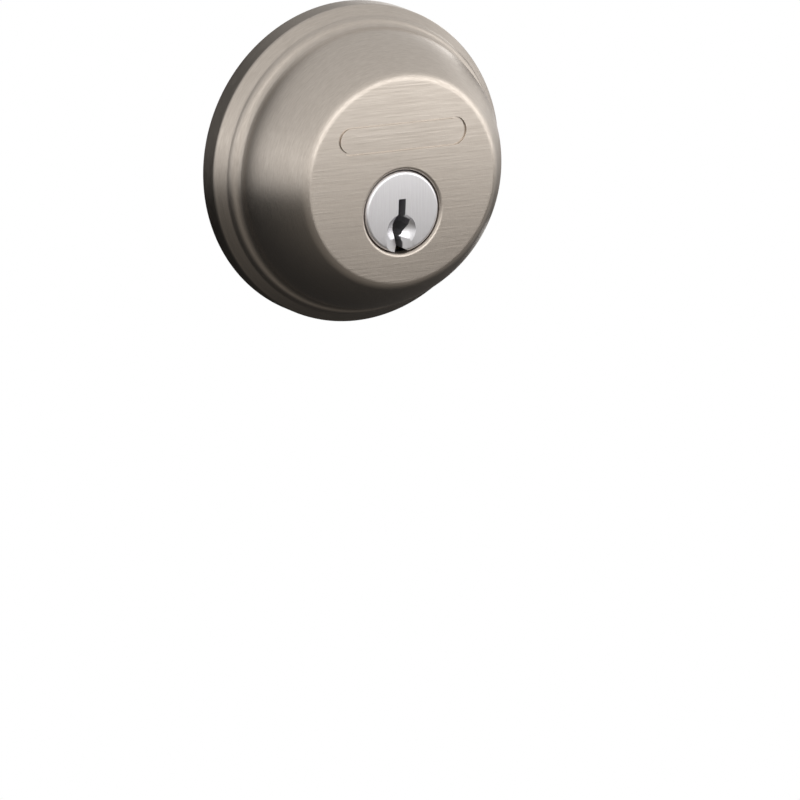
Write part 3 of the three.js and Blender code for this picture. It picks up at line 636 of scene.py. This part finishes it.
def cylinder_body():
    round_part = bar(BODY_R, BODY_Y, centre=SPINDLE, edge=0.3)
    top = BODY_Z[1]
    bible_outline = [(-BIBLE_W, SPINDLE_Z), (BIBLE_W, SPINDLE_Z), (BIBLE_W, top), (-BIBLE_W, top)]
    bible = prism(eased(bible_outline, 0.9, 5), (BODY_Y[0] + 0.1, BODY_Y[1] - 0.1))
    lugs = prism(rounded_rectangle(2 * BODY_X[1], 6.8, 3.2), (-3, 0))
    tools = [bar(PLUG_R + GAP, through(BODY_Y), centre=SPINDLE)]
    tools += chambers(SPINDLE_Z, COVER_Z[0] + 0.5)
    slot_y = (BODY_Y[0] + 3, BODY_Y[1] + 1)
    tools.append(block((-3, 3), slot_y, (COVER_Z[0] - GAP, COVER_Z[0] + 0.6)))
    tools.append(block((-2.2, 2.2), slot_y, (COVER_Z[0], top + 1)))
    tools += [bar(BODY_SCREW_R + GAP, (-4, 1), centre=(x, 0), sides=48) for x in (-BOSS_X, BOSS_X)]
    for side in ("left", "right"):
        centre = node_centre(f"anti_drill_pin_{side}")
        tools.append(bar(DRILL_PIN_R + GAP, (BODY_Y[0] - 1, -10.6), centre=centre, sides=32))
    return soften(cut(join(round_part, bible, lugs), *tools), 0.12)


def node_centre(node):
    """The middle of a node across the Y axis."""
    x, _, z = reach(node)
    return (sum(x) / 2, sum(z) / 2)


# The keyway, as its left and right walls: how far across, and how far above the spindle.
KEYWAY_RIGHT = [(0.72, 2.6), (0.6, -0.5), (0.5, -1.0), (1.9, -1.8), (1.7, -2.85), (1.1, -3.6), (0.55, -4.2),
                (0.26, -4.75), (-0.36, -5.0), (-0.36, -5.4), (0, -6.1), (0.03, -7.2), (2.2, -8.5)]
KEYWAY_LEFT = [(-1.35, -8.9), (-1.28, -8.0), (-0.96, -6.9), (-1.4, -4.95), (-1.55, -4.3), (-1.75, -3.4),
               (-1.65, -2.0), (-1.3, -1.0), (-0.96, -0.35), (-0.86, 2.6)]
RECESS_CENTRE = (-0.2, SPINDLE_Z - 3.7)
RECESS_R = 3.2
KEYWAY_BACK_Y = 7.8


def key_recess():
    """The dished mouth round the keyway, its flat at the lower right, and its chamfer down the left."""
    face = PLUG_FACE_Y
    dish = [(0, face - 1), (RECESS_R + 0.15, face - 1), (RECESS_R, face)]
    dish += bezier((RECESS_R, face), (2.7, face + 0.7), (1.5, face + 1.25), (0, face + 1.35), steps=10)
    flat = prism([(-0.5, SPINDLE_Z - 4.9), (1.6, SPINDLE_Z - 5.6), (2.1, SPINDLE_Z - 6.3), (4, SPINDLE_Z - 9),
                  (-0.5, SPINDLE_Z - 9)], (face - 2, face + 4))
    left = RECESS_CENTRE[0] - RECESS_R
    chamfer = prism([(left, face), (left, face - 1), (-0.8, face - 1), (-0.8, face + 1.1)],
                    (SPINDLE_Z - 10, RECESS_CENTRE[1]), "Z")
    return cut(turned(dish, centre=RECESS_CENTRE), flat), chamfer


def plug():
    face, back = PLUG_FACE_Y, PLUG_Y[1]
    flange_back, barrel_back, tail_back = -18.55, 8.95, TAIL_BACK_Y
    r = PLUG_FACE_R - PLUG_FIT
    profile = [(0, face), (r - PLUG_EDGE, face)]
    profile += bezier((r - PLUG_EDGE, face), (r - 0.15, face + 0.05), (r, face + 0.65), steps=6)
    profile += [(r, flange_back), (PLUG_R, flange_back), (PLUG_R, barrel_back - 0.3),
                (PLUG_R - 0.3, barrel_back), (TAIL_R, barrel_back), (TAIL_R, tail_back - 0.2),
                (TAIL_R - 0.2, tail_back), (0, tail_back)]
    body = turned(fine(profile, barrel_back + 0.1, tail_back - 0.3, 0.08), centre=SPINDLE,
                  relief=thread(0.8, 0.3, barrel_back + 0.1, tail_back - 0.2))
    lug = prism(sector(3.75, TAIL_R - 0.1, -135, 0), (tail_back - 0.5, back))
    slot = prism([(x, SPINDLE_Z + z) for x, z in KEYWAY_RIGHT + KEYWAY_LEFT], (face - 1, KEYWAY_BACK_Y))
    pin_holes = chambers(SPINDLE_Z - 1, SPINDLE_Z + 9)
    lock_groove = bar(LOCK_GROOVE_R, (barrel_back, tail_back + 0.1), centre=node_centre("plug_cap_pin"),
                      sides=32)
    return cut(join(body, lug), slot, *key_recess(), *pin_holes, lock_groove)


def plug_cap():
    _, y, _ = reach("plug_cap")
    r = 7.4
    cup = bar(r, y, centre=SPINDLE, edge=0.35)
    cavity = bar(TAIL_R + GAP, (y[0] - 1, 13.1), centre=SPINDLE)
    hole = bar(3.65, (y[0], y[1] + 1), centre=SPINDLE)
    lock_groove = bar(LOCK_GROOVE_R, (y[0] - 1, TAIL_BACK_Y), centre=node_centre("plug_cap_pin"), sides=32)
    notches = []
    for k in range(6):
        turn = k * math.pi / 3
        centre = ((r + 0.2) * math.sin(turn), SPINDLE_Z + (r + 0.2) * math.cos(turn))
        notches.append(bar(0.8, through(y), sides=32, centre=centre))
    return soften(cut(cup, cavity, hole, lock_groove, *notches), 0.1)


def key_pin(pin):
    _, y, z = reach(f"key_pin_{pin}")
    r = (y[1] - y[0]) / 2
    profile = [(0, z[0]), (0.3, z[0]), (0.45, z[0] + 0.06), (r, z[0] + 0.95),
               (r, z[1] - 0.12), (r - 0.12, z[1]), (0, z[1])]
    return turned(profile, "Z", (0, sum(y) / 2), 64)


def driver_pin(pin):
    """A spool pin: its waist catches at the shear line when someone turns the plug without the key."""
    _, y, z = reach(f"driver_pin_{pin}")
    r = (y[1] - y[0]) / 2
    profile = [(0, z[0]), (r - 0.15, z[0]), (r, z[0] + 0.15), (r, z[0] + 1.15), (r - 0.35, z[0] + 1.25),
               (r - 0.35, z[1] - 1.25), (r, z[1] - 1.15), (r, z[1] - 0.15), (r - 0.15, z[1]), (0, z[1])]
    return turned(profile, "Z", (0, sum(y) / 2), 64)


def coil(pin, wire=0.19, turns=5, sides=14, steps=44):
    """A compression spring's round wire along a helix, with its end turns closed up."""
    _, y, z = reach(f"driver_spring_{pin}")
    radius = (y[1] - y[0]) / 2 - wire
    low, high = z[0] + wire, z[1] - wire
    count = turns * steps

    def height(t):
        closed = 0.12
        rise = 0.4 * wire / (high - low)
        if t < closed:
            return rise * t / closed
        if t > 1 - closed:
            return 1 - rise * (1 - t) / closed
        return rise + (1 - 2 * rise) * (t - closed) / (1 - 2 * closed)

    def fill(bm):
        rings = []
        for k in range(count + 1):
            t = k / count
            angle = 2 * math.pi * turns * t
            way = Vector((math.cos(angle), math.sin(angle), 0))
            centre = Vector((0, sum(y) / 2, low + (high - low) * height(t))) + way * radius
            turn = [2 * math.pi * n / sides for n in range(sides)]
            rings.append([bm.verts.new(centre + wire * (way * math.cos(a) + Vector((0, 0, math.sin(a)))))
                          for a in turn])
        skin(bm, rings, closed=False)
        bm.faces.new(rings[0])
        bm.faces.new(rings[-1])
    return shape(fill)


def cylinder_screw(side):
    _, y, _ = reach(f"cylinder_screw_{side}")
    centre = node_centre(f"cylinder_screw_{side}")
    r, head_r = BODY_SCREW_R, 2.9
    profile = [(0, y[0]), (1.1, y[0]), (r, y[0] + 0.5), (r, -3.2), (r, GAP), (head_r, GAP), (head_r, 1.3)]
    profile += bezier((head_r, 1.3), (2.8, y[1]), (1.6, y[1]), steps=6)
    profile.append((0, y[1]))
    start, end = y[0] + 0.2, -3.3
    relief = thread(0.7, 0.28, start, end)
    body = turned(fine(profile, start, end, 0.07), centre=centre, sides=64, relief=relief)
    return cut(body, cross_recess(1.6, 1.2, y[1], "Y", centre, 1))


def tailpiece():
    _, y, _ = reach("tailpiece")
    plate_y = (11.75, 12.75)
    low, high = SPINDLE_Z - 3.1, SPINDLE_Z + 3.1
    strip = prism(eased([(-1, low), (1, low), (1, high), (-1, high)], 0.25, 4), (plate_y[1] - 0.5, y[1]))
    flange = bar(3.4, plate_y, centre=SPINDLE, edge=0.12)
    tooth = prism(sector(2.5, TAIL_R - 0.1, 4, 131), plate_y)
    return soften(join(strip, flange, tooth), 0.1)


# ---- Bolt mechanism ----

THROW = 25.4
CRANK_R = THROW / math.sqrt(2)
CRANK = (-CRANK_R / math.sqrt(2), SPINDLE_Z + CRANK_R / math.sqrt(2))
CRANK_PIN_R = 1.4
FORK_PLAY = 0.65                        # on each side of the crank's pin, for the sine of its path
HUB_R = 4.3
BOLT_X, BOLT_SPAN_Y, BOLT_Z = reach("bolt")
RIVET = node_centre("link_rivet")


def bolt_cam():
    _, y, _ = reach("bolt_cam")
    hub = bar(HUB_R, y, centre=SPINDLE, edge=0.25)
    arm_y = (BOLT_Y - 4.3, BOLT_Y - 2.1)
    half_turn = [math.radians(a) for a in range(0, 181, 6)]
    lean = math.radians(-45)

    def around(centre, r, flip):
        angles = [lean - math.pi / 2 + a + (math.pi if flip else 0) for a in half_turn]
        return [(centre[0] + r * math.sin(a), centre[1] + r * math.cos(a)) for a in angles]

    arm = prism(around(CRANK, 2.4, False) + around(SPINDLE, HUB_R - 0.1, True), arm_y)
    pin = bar(CRANK_PIN_R, (arm_y[0] + 0.5, BOLT_Y + 2.3), centre=CRANK, sides=64, edge=0.25)
    half, low, high = TAIL_SLOT[0], SPINDLE_Z - TAIL_SLOT[1], SPINDLE_Z + TAIL_SLOT[1]
    slot_outline = eased([(-half, low), (half, low), (half, high), (-half, high)], 0.2, 3)
    slot = prism(slot_outline, through(y))
    return soften(cut(join(hub, arm, pin), slot), 0.15)


def bolt_link():
    """A bar from the bolt back to a fork whose open slot holds the crank's pin."""
    x, y, z = reach("bolt_link")
    rear, front = x
    top = z[1]
    pin_x = -THROW / 2
    slot = CRANK_PIN_R + FORK_PLAY
    fork = pin_x + slot + 3.2
    outline = [(rear, -0.8), (6.5, -0.8), (8.5, -4.5), (front, -4.5), (front, 4.5)]
    outline += [(fork + 4, 4.5), (fork, 7), (fork, top), (pin_x + slot, top), (pin_x + slot, 4.7)]
    outline += [(pin_x - slot, 4.7), (pin_x - slot, top), (rear + 0.7, top), (rear, top - 1.6)]
    plate = prism(eased(outline, 0.6, 5), y)
    return soften(cut(plate, bar(RIVET_R + GAP, (0, 40), centre=RIVET, sides=48)), 0.18)


def link_rivet():
    _, y, _ = reach("link_rivet")
    ends = [(0, y[0]), (0.9, y[0] + 0.05), (1.35, y[0] + 0.25), (RIVET_R, y[0] + 0.6)]
    return turned(ends + [(r, sum(y) - w) for r, w in reversed(ends)], centre=RIVET, sides=64)


def bolt():
    w, h = BOLT_SPAN_Y[1] - BOLT_SPAN_Y[0], BOLT_Z[1] - BOLT_Z[0]
    back, front = BOLT_X
    centre = (BOLT_Y, 0)
    bar_length = prism(rounded_rectangle(w, h, 3, centre), (back, front), "X")
    body = soften(bar_length, 0.9, 4, 60)
    link_slot = block((back - 1, back + 8), (BOLT_Y - LINK_HALF - GAP, BOLT_Y + LINK_HALF + GAP), (-5, 5))
    roller_bore = bar(ROLLER_R + 0.3, (back + 7.5, front - 3), "X", centre)
    rivet_hole = bar(RIVET_R + GAP, (BOLT_SPAN_Y[0] - 2, BOLT_SPAN_Y[1] + 2), centre=RIVET, sides=48)
    return soften(cut(body, link_slot, roller_bore, rivet_hole), 0.12)


def bolt_tube():
    """Rolled tube, with its seam along the underside."""
    x = reach("bolt_tube")[0]
    seam = block(through(x), (BOLT_Y - 0.12, BOLT_Y + 0.12), (-CASE_R - 1, -CASE_R + 0.4))
    return cut(tube(CASE_R - SHEET, CASE_R, x, "X", (BOLT_Y, 0), edge=0.2), seam)


def bolt_case():
    """An open-topped trough in the cross bore, sloping down to its rear, with a round collar for the tube."""
    x = reach("bolt_case")[0]
    joint = reach("bolt_tube")[0][0] - GAP
    centre = (BOLT_Y, 0)

    def width(half):
        return (BOLT_Y - half, BOLT_Y + half)

    outside = bar(CASE_R, (x[0], joint), "X", centre)
    combine(outside, "INTERSECT", [block((-30, 30), width(CASE_HALF), (-20, CASE_TOP_Z))])
    inside = bar(CASE_R - SHEET, (x[0] + SHEET, joint + 9), "X", centre)
    combine(inside, "INTERSECT", [block((-30, 40), width(CASE_HALF - SHEET), (-20, 20))])
    collar = bar(CASE_R - SHEET - COLLAR_FIT, (joint - 0.5, x[1]), "X", centre, edge=0.2)
    link_way = block((joint - 5, joint + 9), width(LINK_HALF + 1), (-5.2, 5.2))
    hub_hole = bar(HUB_R + 0.3, (0, 40), centre=SPINDLE)
    rear, above = x[0], CASE_TOP_Z + 9
    slope = prism([(rear, 2), (-9.6, CASE_TOP_Z), (-9.6, above), (rear - 1, above), (rear - 1, 2)], (0, 40))
    return soften(cut(join(cut(outside, inside), cut(collar, link_way)), hub_hole, slope), 0.12)


def plate_in_edge(node, w, h, r, hole_r, head_r=None):
    """A plate with round corners in the door's edge, with the bolt's opening and two screw holes."""
    x, _, _ = reach(node)
    centre = (BOLT_Y, 0)
    plate = prism(rounded_rectangle(w, h, r, centre), x, "X")
    bolt_w, bolt_h = BOLT_SPAN_Y[1] - BOLT_SPAN_Y[0], BOLT_Z[1] - BOLT_Z[0]
    tools = [prism(rounded_rectangle(bolt_w + 2 * GAP, bolt_h + 2 * GAP, 3.3, centre), through(x), "X")]
    for screw in ("upper", "lower"):
        place = (BOLT_Y, sum(reach(f"face_plate_screw_{screw}")[2]) / 2)
        tools.append(bar(hole_r, through(x), "X", place))
        if head_r:
            tools.append(cone(hole_r, head_r, (x[1] - 2.2, x[1] + 0.1), "X", place))
    return soften(cut(plate, *tools), 0.3 if head_r else 0.15, 3)


def face_plate_screw(which):
    """A countersunk wood screw with a coarse thread and a drawn-out point."""
    x, _, z = reach(f"face_plate_screw_{which}")
    centre = (BOLT_Y, sum(z) / 2)
    start, end = x[0] + 0.3, x[1] - 4.5
    neck = 1.65
    profile = [(0, x[0]), (0.25, x[0] + 0.05), (1.85, x[0] + 4), (1.9, end), (neck, end + 0.3)]
    profile += [(neck, x[1] - 2.4), (SCREW_HEAD_R - 0.15, x[1] - 0.25), (SCREW_HEAD_R - 0.1, x[1] - 0.05)]
    profile += [(SCREW_HEAD_R - 0.4, x[1]), (0, x[1])]
    body = turned(fine(profile, start, end, 0.12), "X", centre, 72, thread(1.6, 0.62, start, end))
    return cut(body, cross_recess(2.1, 1.7, x[1], "X", centre, 1))


# ---- Inside trim ----

def support_plate():
    x, y, _ = reach("support_plate")
    spindle_hole_r = 9.6
    tools = [bar(spindle_hole_r, through(y), centre=SPINDLE)]
    tools += [bar(MOUNT_BOLT_R + GAP, through(y), centre=(0, side)) for side in (-POST_Z, POST_Z)]
    return soften(cut(bar(x[1], y, sides=160), *tools), 0.2)


def inside_rose():
    height = INSIDE_FACE_Y - DOOR
    wall = 1.8
    foot = ROSE_R - 4.1
    points = rim_outline()
    points += bezier((ROSE_R - 3.95, 9.1), (foot, 9.4), (foot - 0.15, 9.55), steps=3)
    points += bezier((foot - 0.15, 9.55), (foot - 0.7, height), (foot - 2.3, height), steps=8)
    points += [(foot - 3, height), (0, height), (0, height - wall), (25.4, height - wall), (26.2, 8.1),
               (ROSE_R - SHELL, 3.4)]
    shell = turned([(r, DOOR + h) for r, h in points], sides=192)
    tools = [lipped_hole(STEM_R + 4 * GAP + 0.7, 0.3, INSIDE_FACE_Y, 4, 1, SPINDLE)]
    for z in (-POST_Z, POST_Z):
        tools.append(bar(MOUNT_BOLT_R + GAP, (INSIDE_FACE_Y - 4, INSIDE_FACE_Y + 1), centre=(0, z)))
        tools.append(cone(MOUNT_BOLT_R + GAP, 4.75, (INSIDE_FACE_Y - 2, INSIDE_FACE_Y + 0.1), centre=(0, z)))
    return cut(shell, *tools)


def thumbturn_bushing():
    _, y, _ = reach("thumbturn_bushing")
    inner, sleeve, flange = STEM_R + GAP, STEM_R + 3 * GAP + 0.7, 9.4
    step = INSIDE_FACE_Y - 1.8 - GAP
    corners = [(inner, y[0]), (flange, y[0]), (flange, step), (sleeve, step), (sleeve, y[1]), (inner, y[1])]
    return turned(eased(corners, 0.2, 3), centre=SPINDLE)


def lever():
    """The grip: seen from the side, a waist that spreads into a long rounded blade; a pillow in section."""
    _, y, z = reach("thumbturn")
    foot = INSIDE_FACE_Y + GAP + 2.4
    half = (z[1] - z[0]) / 2
    top = y[1]
    waist = 7.3
    outline = [(-waist, 0)]
    outline += bezier((-waist, 0), (-waist, 5.2), (-half, 4.6), (-half, 12), steps=20)
    outline += bezier((-half, 12), (-half, 17.6), (0, top - foot + 1.4), (half, 17.6), (half, 12), steps=44)
    outline += bezier((half, 12), (half, 4.6), (waist, 5.2), (waist, 0), steps=20)
    outline += [(waist * (1 - k / 6), 0) for k in range(1, 12)]
    rise = max(h for _, h in outline)
    outline = [(u, h * (top - foot) / rise) for u, h in outline]
    thick = 3.6
    middle = 9.0
    shells = 16

    def fill(bm):
        def ring(s, side):
            x = side * thick * (1 - s ** 5) ** 0.5
            places = [(x, foot + middle + (h - middle) * s, SPINDLE_Z + u * s) for u, h in outline]
            return [bm.verts.new(place) for place in places]

        def centre(side):
            return [bm.verts.new((side * thick, foot + middle, SPINDLE_Z))]

        spacing = [math.sin(math.pi / 2 * k / shells) for k in range(1, shells)]
        left = [centre(-1)] + [ring(s, -1) for s in spacing]
        right = [ring(s, 1) for s in reversed(spacing)] + [centre(1)]
        skin(bm, left + [ring(1.0, 0)] + right, closed=False)
    return shape(fill)


def thumbturn():
    _, y, _ = reach("thumbturn")
    top = INSIDE_FACE_Y + GAP
    collar = [(0, top), (10.2, top), (10.4, top + 0.2), (10.6, top + 1.6)]
    collar += bezier((10.6, top + 1.6), (10.5, top + 3.0), (8.4, top + 3.4), (5, top + 3.6), steps=10)
    collar += [(0, top + 3.6)]
    stem = bar(STEM_R, (y[0], top + 1), centre=SPINDLE, edge=0.3)
    groove_y = (48.95, 50.25)
    ring_groove = tube(STEM_R - 1, STEM_R + 1, groove_y, centre=SPINDLE, edge=0.05)
    half, tall = TAIL_SLOT
    slot_end = 55.6
    slot = block((-half, half), (y[0] - 1, slot_end), (SPINDLE_Z - tall, SPINDLE_Z + tall))
    body = join(turned(collar, centre=SPINDLE, sides=160), lever(), stem)
    return cut(body, ring_groove, slot)


def wave_washer():
    """An open spring washer: a flat ring bent into three waves."""
    _, y, _ = reach("wave_washer")
    thick = 0.3
    middle = sum(y) / 2
    rise = (y[1] - y[0] - thick) / 2
    steps = 144
    low, high = -thick / 2, thick / 2
    section = eased([(6.3, low), (8.6, low), (8.6, high), (6.3, high)], 0.08, 2)

    def fill(bm):
        rings = []
        for k in range(steps):
            a = 2 * math.pi * k / steps
            lift = middle + rise * math.cos(3 * a)
            rings.append([bm.verts.new((r * math.sin(a), lift + w, SPINDLE_Z + r * math.cos(a)))
                          for r, w in section])
        skin(bm, rings, closed=True)
    return shape(fill)


def retaining_ring():
    _, y, _ = reach("retaining_ring")
    ring = bar(8.2, y, centre=SPINDLE)
    mouth = block((-3.6, 3.6), through(y), (SPINDLE_Z, SPINDLE_Z + 10))
    return soften(cut(ring, bar(STEM_R - 0.7, through(y), centre=SPINDLE), mouth), 0.1)


def mounting_bolt(which):
    _, y, z = reach(f"mounting_bolt_{which}")
    centre = (0, sum(z) / 2)
    face = INSIDE_FACE_Y
    r, shank_r, head_r = MOUNT_BOLT_R, MOUNT_BOLT_R - 0.2, 4.4
    start, end = y[0] + 0.2, 16.0
    profile = [(0, y[0]), (1.9, y[0]), (r, y[0] + 0.6), (r, end), (shank_r, end + 0.2)]
    profile += [(shank_r, face - 2.2), (4.35, face - 0.3), (head_r, face - 0.1)]
    profile += bezier((head_r, face - 0.1), (3.6, y[1] - 0.05), (0.8, y[1]), steps=6)
    profile.append((0, y[1]))
    relief = thread(0.8, 0.42, start, end)
    body = turned(fine(profile, start, end, 0.1), centre=centre, sides=64, relief=relief)
    return cut(body, cross_recess(2.2, 1.7, y[1], "Y", centre, 1))


# ---- Pieces and their materials ----

def make_outside_trim():
    nickel = trim_nickel("satin_nickel_outside", FACE_R + 0.2, FACE_Y, -1)
    brass_turned = turned_metal("brass_turned", BRASS)
    brass_pin = turned_metal("brass_pin", BRASS, "Z", (0, 0), 0.0, 2400.0)
    steel = turned_metal("hardened_steel_turned", HARD_STEEL)
    spring = plated_metal("spring_wire", SPRING_STEEL)
    zinc = plated_metal("zinc_plate", ZINC)
    piece("outer_housing", "shell", outer_housing(), nickel, "root")
    piece("guard_plate", "disc", guard_plate(), steel, "root")
    body = cylinder_body()
    piece("cylinder_body", "casting", body, body_brass("brass_cast", PLUG_FACE_R + 0.6), "root")
    cover = soften(block(COVER_X, COVER_Y, COVER_Z), 0.06)
    piece("chamber_cover", "strip", cover, belt_metal("brass_strip", BRASS, "Y", "X"), "root")
    body = plug()
    plug_nickel = belt_metal("plug_nickel_face", PLUG_NICKEL, "Z", "X", 120.0, 3600.0)
    piece("plug", "turned", body, plug_nickel, "plug")
    piece("plug_cap", "turned", plug_cap(), brass_turned, "plug")
    cap_pin = bar(0.65, reach("plug_cap_pin")[1], centre=node_centre("plug_cap_pin"), sides=40, edge=0.1)
    piece("plug_cap_pin", "turned", cap_pin, steel, "plug")
    for pin in PINS:
        piece(f"key_pin_{pin}", "turned", key_pin(pin), brass_pin, "plug")
        piece(f"driver_pin_{pin}", "turned", driver_pin(pin), brass_pin, "root")
        piece(f"driver_spring_{pin}", "coil", coil(pin), spring, "root")
    for side in ("left", "right"):
        node = f"anti_drill_pin_{side}"
        pin = bar(DRILL_PIN_R, reach(node)[1], centre=node_centre(node), sides=48, edge=0.15)
        piece(node, "ground", pin, steel, "root")
        piece(f"cylinder_screw_{side}", "threaded", cylinder_screw(side), zinc, "root")
    body = tailpiece()
    piece("tailpiece", "bar", body, belt_metal("zinc_drawn", ZINC, "Y", "Z"), "thumbturn")


def make_bolt_mechanism():
    zinc = plated_metal("zinc_pressed", ZINC)
    drawn = belt_metal("zinc_tube", ZINC, "X", "Y", 60.0, 2600.0)
    plate_nickel = belt_metal("satin_nickel_plate", SATIN_NICKEL, "Z", "Y")
    screw_nickel = turned_metal("satin_nickel_screw", SATIN_NICKEL, "X", (BOLT_Y, 0), 0.0, 2400.0)
    piece("bolt_cam", "hub", bolt_cam(), zinc, "thumbturn")
    piece("bolt_link", "bar", bolt_link(), zinc, "bolt")
    piece("link_rivet", "turned", link_rivet(), zinc, "bolt")
    piece("bolt", "bar", bolt(), belt_metal("bolt_nickel", BOLT_NICKEL, "Z", "Y"), "bolt")
    roller = bar(ROLLER_R, reach("roller_pin")[0], "X", (BOLT_Y, 0), edge=0.35)
    roller_steel = turned_metal("hardened_roller", HARD_STEEL, "X", (BOLT_Y, 0))
    piece("roller_pin", "ground", roller, roller_steel, "roller")
    piece("bolt_tube", "rolled", bolt_tube(), drawn, "root")
    piece("bolt_case", "pressed", bolt_case(), zinc, "root")
    face_plate = plate_in_edge("face_plate", 25.4, 57.15, 6.35, 2.45, 4.55)
    piece("face_plate", "pressed", face_plate, plate_nickel, "root")
    back_plate = plate_in_edge("back_plate", 24.4, 56.15, 5.85, 2.45)
    piece("back_plate", "pressed", back_plate, zinc, "root")
    for which in ("upper", "lower"):
        screw = face_plate_screw(which)
        piece(f"face_plate_screw_{which}", "threaded", screw, screw_nickel, "root")


def make_inside_trim():
    zinc = plated_metal("zinc_flat", ZINC)
    piece("support_plate", "pressed", support_plate(), zinc, "root")
    body = inside_rose()
    nickel = trim_nickel("satin_nickel_inside", 26.0, INSIDE_FACE_Y, 1)
    piece("inside_rose", "shell", body, nickel, "root")
    body = thumbturn()
    grip_nickel = belt_metal("satin_nickel_grip", SATIN_NICKEL, "Z", "Y")
    piece("thumbturn", "grip", body, grip_nickel, "thumbturn")
    body = thumbturn_bushing()
    piece("thumbturn_bushing", "moulded", body, moulded_nylon("natural_nylon"), "root")
    spring = plated_metal("spring_strip", SPRING_STEEL)
    piece("wave_washer", "formed", wave_washer(), spring, "root")
    body = retaining_ring()
    oxide = plated_metal("dark_oxide", HARD_STEEL)
    piece("retaining_ring", "stamped", body, oxide, "thumbturn")
    for which in ("upper", "lower"):
        piece(f"mounting_bolt_{which}", "threaded", mounting_bolt(which), zinc, "root")


# ---- Stage and light ----

def pale(name, glow):
    t = new_tree(name)
    return t.finish(t.add("ShaderNodeBsdfPrincipled", {
        "Base Color": (0.9, 0.9, 0.9, 1), "Roughness": 0.8, "Emission Color": (1, 1, 1, 1),
        "Emission Strength": glow,
    }))


def make_stage():
    floor_z = -0.2
    half = 3.0
    mesh = bpy.data.meshes.new("floor")
    corners = ((-half, -half), (half, -half), (half, half), (-half, half))
    mesh.from_pydata([(x, y, floor_z) for x, y in corners], [], [(0, 1, 2, 3)])
    mesh.materials.append(pale("floor_white", 0.45))
    floor = bpy.data.objects.new("floor", mesh)
    bpy.context.scene.collection.objects.link(floor)
    floor.visible_glossy = False


# The studio's brightness by height: how far up a direction points, and how bright it is there.
STUDIO = [(-1.0, 0.02), (-0.3, 0.03), (-0.12, 0.56), (0.1, 0.94), (0.25, 0.9), (0.5, 0.68), (1.0, 0.62)]


def towards(t, direction, aim, away, facing, wide, tight):
    """A value that changes from away to facing as a direction turns towards aim."""
    turn = t.add("ShaderNodeVectorMath", {0: direction, 1: Vector(aim).normalized()}, operation="DOT_PRODUCT")
    return t.spread(turn.outputs["Value"], away, facing, wide, tight, "SMOOTHSTEP")


def make_world():
    """A bright ceiling over a dark ground, darkest behind the door, and white where the camera sees it."""
    world = bpy.data.worlds.new("studio")
    bpy.context.scene.world = world
    t = Tree(world)
    direction = t.add("ShaderNodeTexCoord").outputs["Generated"]
    way = t.add("ShaderNodeSeparateXYZ", {0: direction})
    ramp = t.add("ShaderNodeValToRGB", {0: t.spread(way.outputs[2], 0, 1, -1, 1)})
    elements = ramp.color_ramp.elements
    while len(elements) < len(STUDIO):
        elements.new(0.5)
    for element, (height, value) in zip(elements, STUDIO):
        element.position = (height + 1) / 2
        element.color = (value, value, value, 1)
    behind = t.spread(way.outputs[1], 1.0, 0.12, 0.70, 0.86, "SMOOTHSTEP")
    behind_left = towards(t, direction, (-0.42, 0.9, 0.1), 1.0, 0.08, 0.62, 0.92)
    ahead = towards(t, direction, (0.46, -0.88, 0.05), 1.0, 0.15, 0.62, 0.93)
    shade = t.math("MULTIPLY", t.math("MULTIPLY", behind, behind_left), ahead)
    above = t.add("ShaderNodeBackground", {0: (1, 1, 1, 1), 1: t.math("MULTIPLY", ramp.outputs[0], shade)})
    low_front = t.spread(way.outputs[1], 0.13, 0.0, -0.7, 0.1, "SMOOTHSTEP")
    warm = t.add("ShaderNodeBackground", {0: (1, 0.92, 0.82, 1), 1: low_front})
    right = towards(t, direction, (0.97, -0.1, -0.22), 0.0, 0.22, 0.84, 0.98)
    side = t.add("ShaderNodeBackground", {0: (1, 1, 1, 1), 1: right})
    lower = t.add("ShaderNodeAddShader", {0: warm.outputs[0], 1: side.outputs[0]})
    lit = t.add("ShaderNodeAddShader", {0: above.outputs[0], 1: lower.outputs[0]})
    seen = t.add("ShaderNodeBackground", {0: (1, 1, 1, 1)})
    path = t.add("ShaderNodeLightPath")
    to_camera = path.outputs["Is Camera Ray"]
    mix = t.add("ShaderNodeMixShader", {0: to_camera, 1: lit.outputs[0], 2: seen.outputs[0]})
    t.add("ShaderNodeOutputWorld", {0: mix.outputs[0]})


def area_light(name, place, aim, size, power):
    data = bpy.data.lights.new(name, "AREA")
    data.shape = "RECTANGLE"
    data.size, data.size_y = size
    data.energy = power
    light = bpy.data.objects.new(name, data)
    bpy.context.scene.collection.objects.link(light)
    light.location = place
    light.rotation_mode = "QUATERNION"
    light.rotation_quaternion = (Vector(aim) - Vector(place)).to_track_quat("-Z", "Y")
    light.visible_camera = False


def make_lights():
    view = bpy.context.scene.view_settings
    view.view_transform = "Standard"
    view.look = "None"
    make_world()
    area_light("front_card", (0.064, -0.153, 0.05), (-0.01, -0.006, 0.05), (0.31, 0.14), 0.205)
    area_light("inside_card", (0.13, 0.20, -0.01), (0, 0.055, 0), (0.2, 0.2), 0.12)


make_camera()
make_lights()
make_stage()
make_outside_trim()
make_bolt_mechanism()
make_inside_trim()
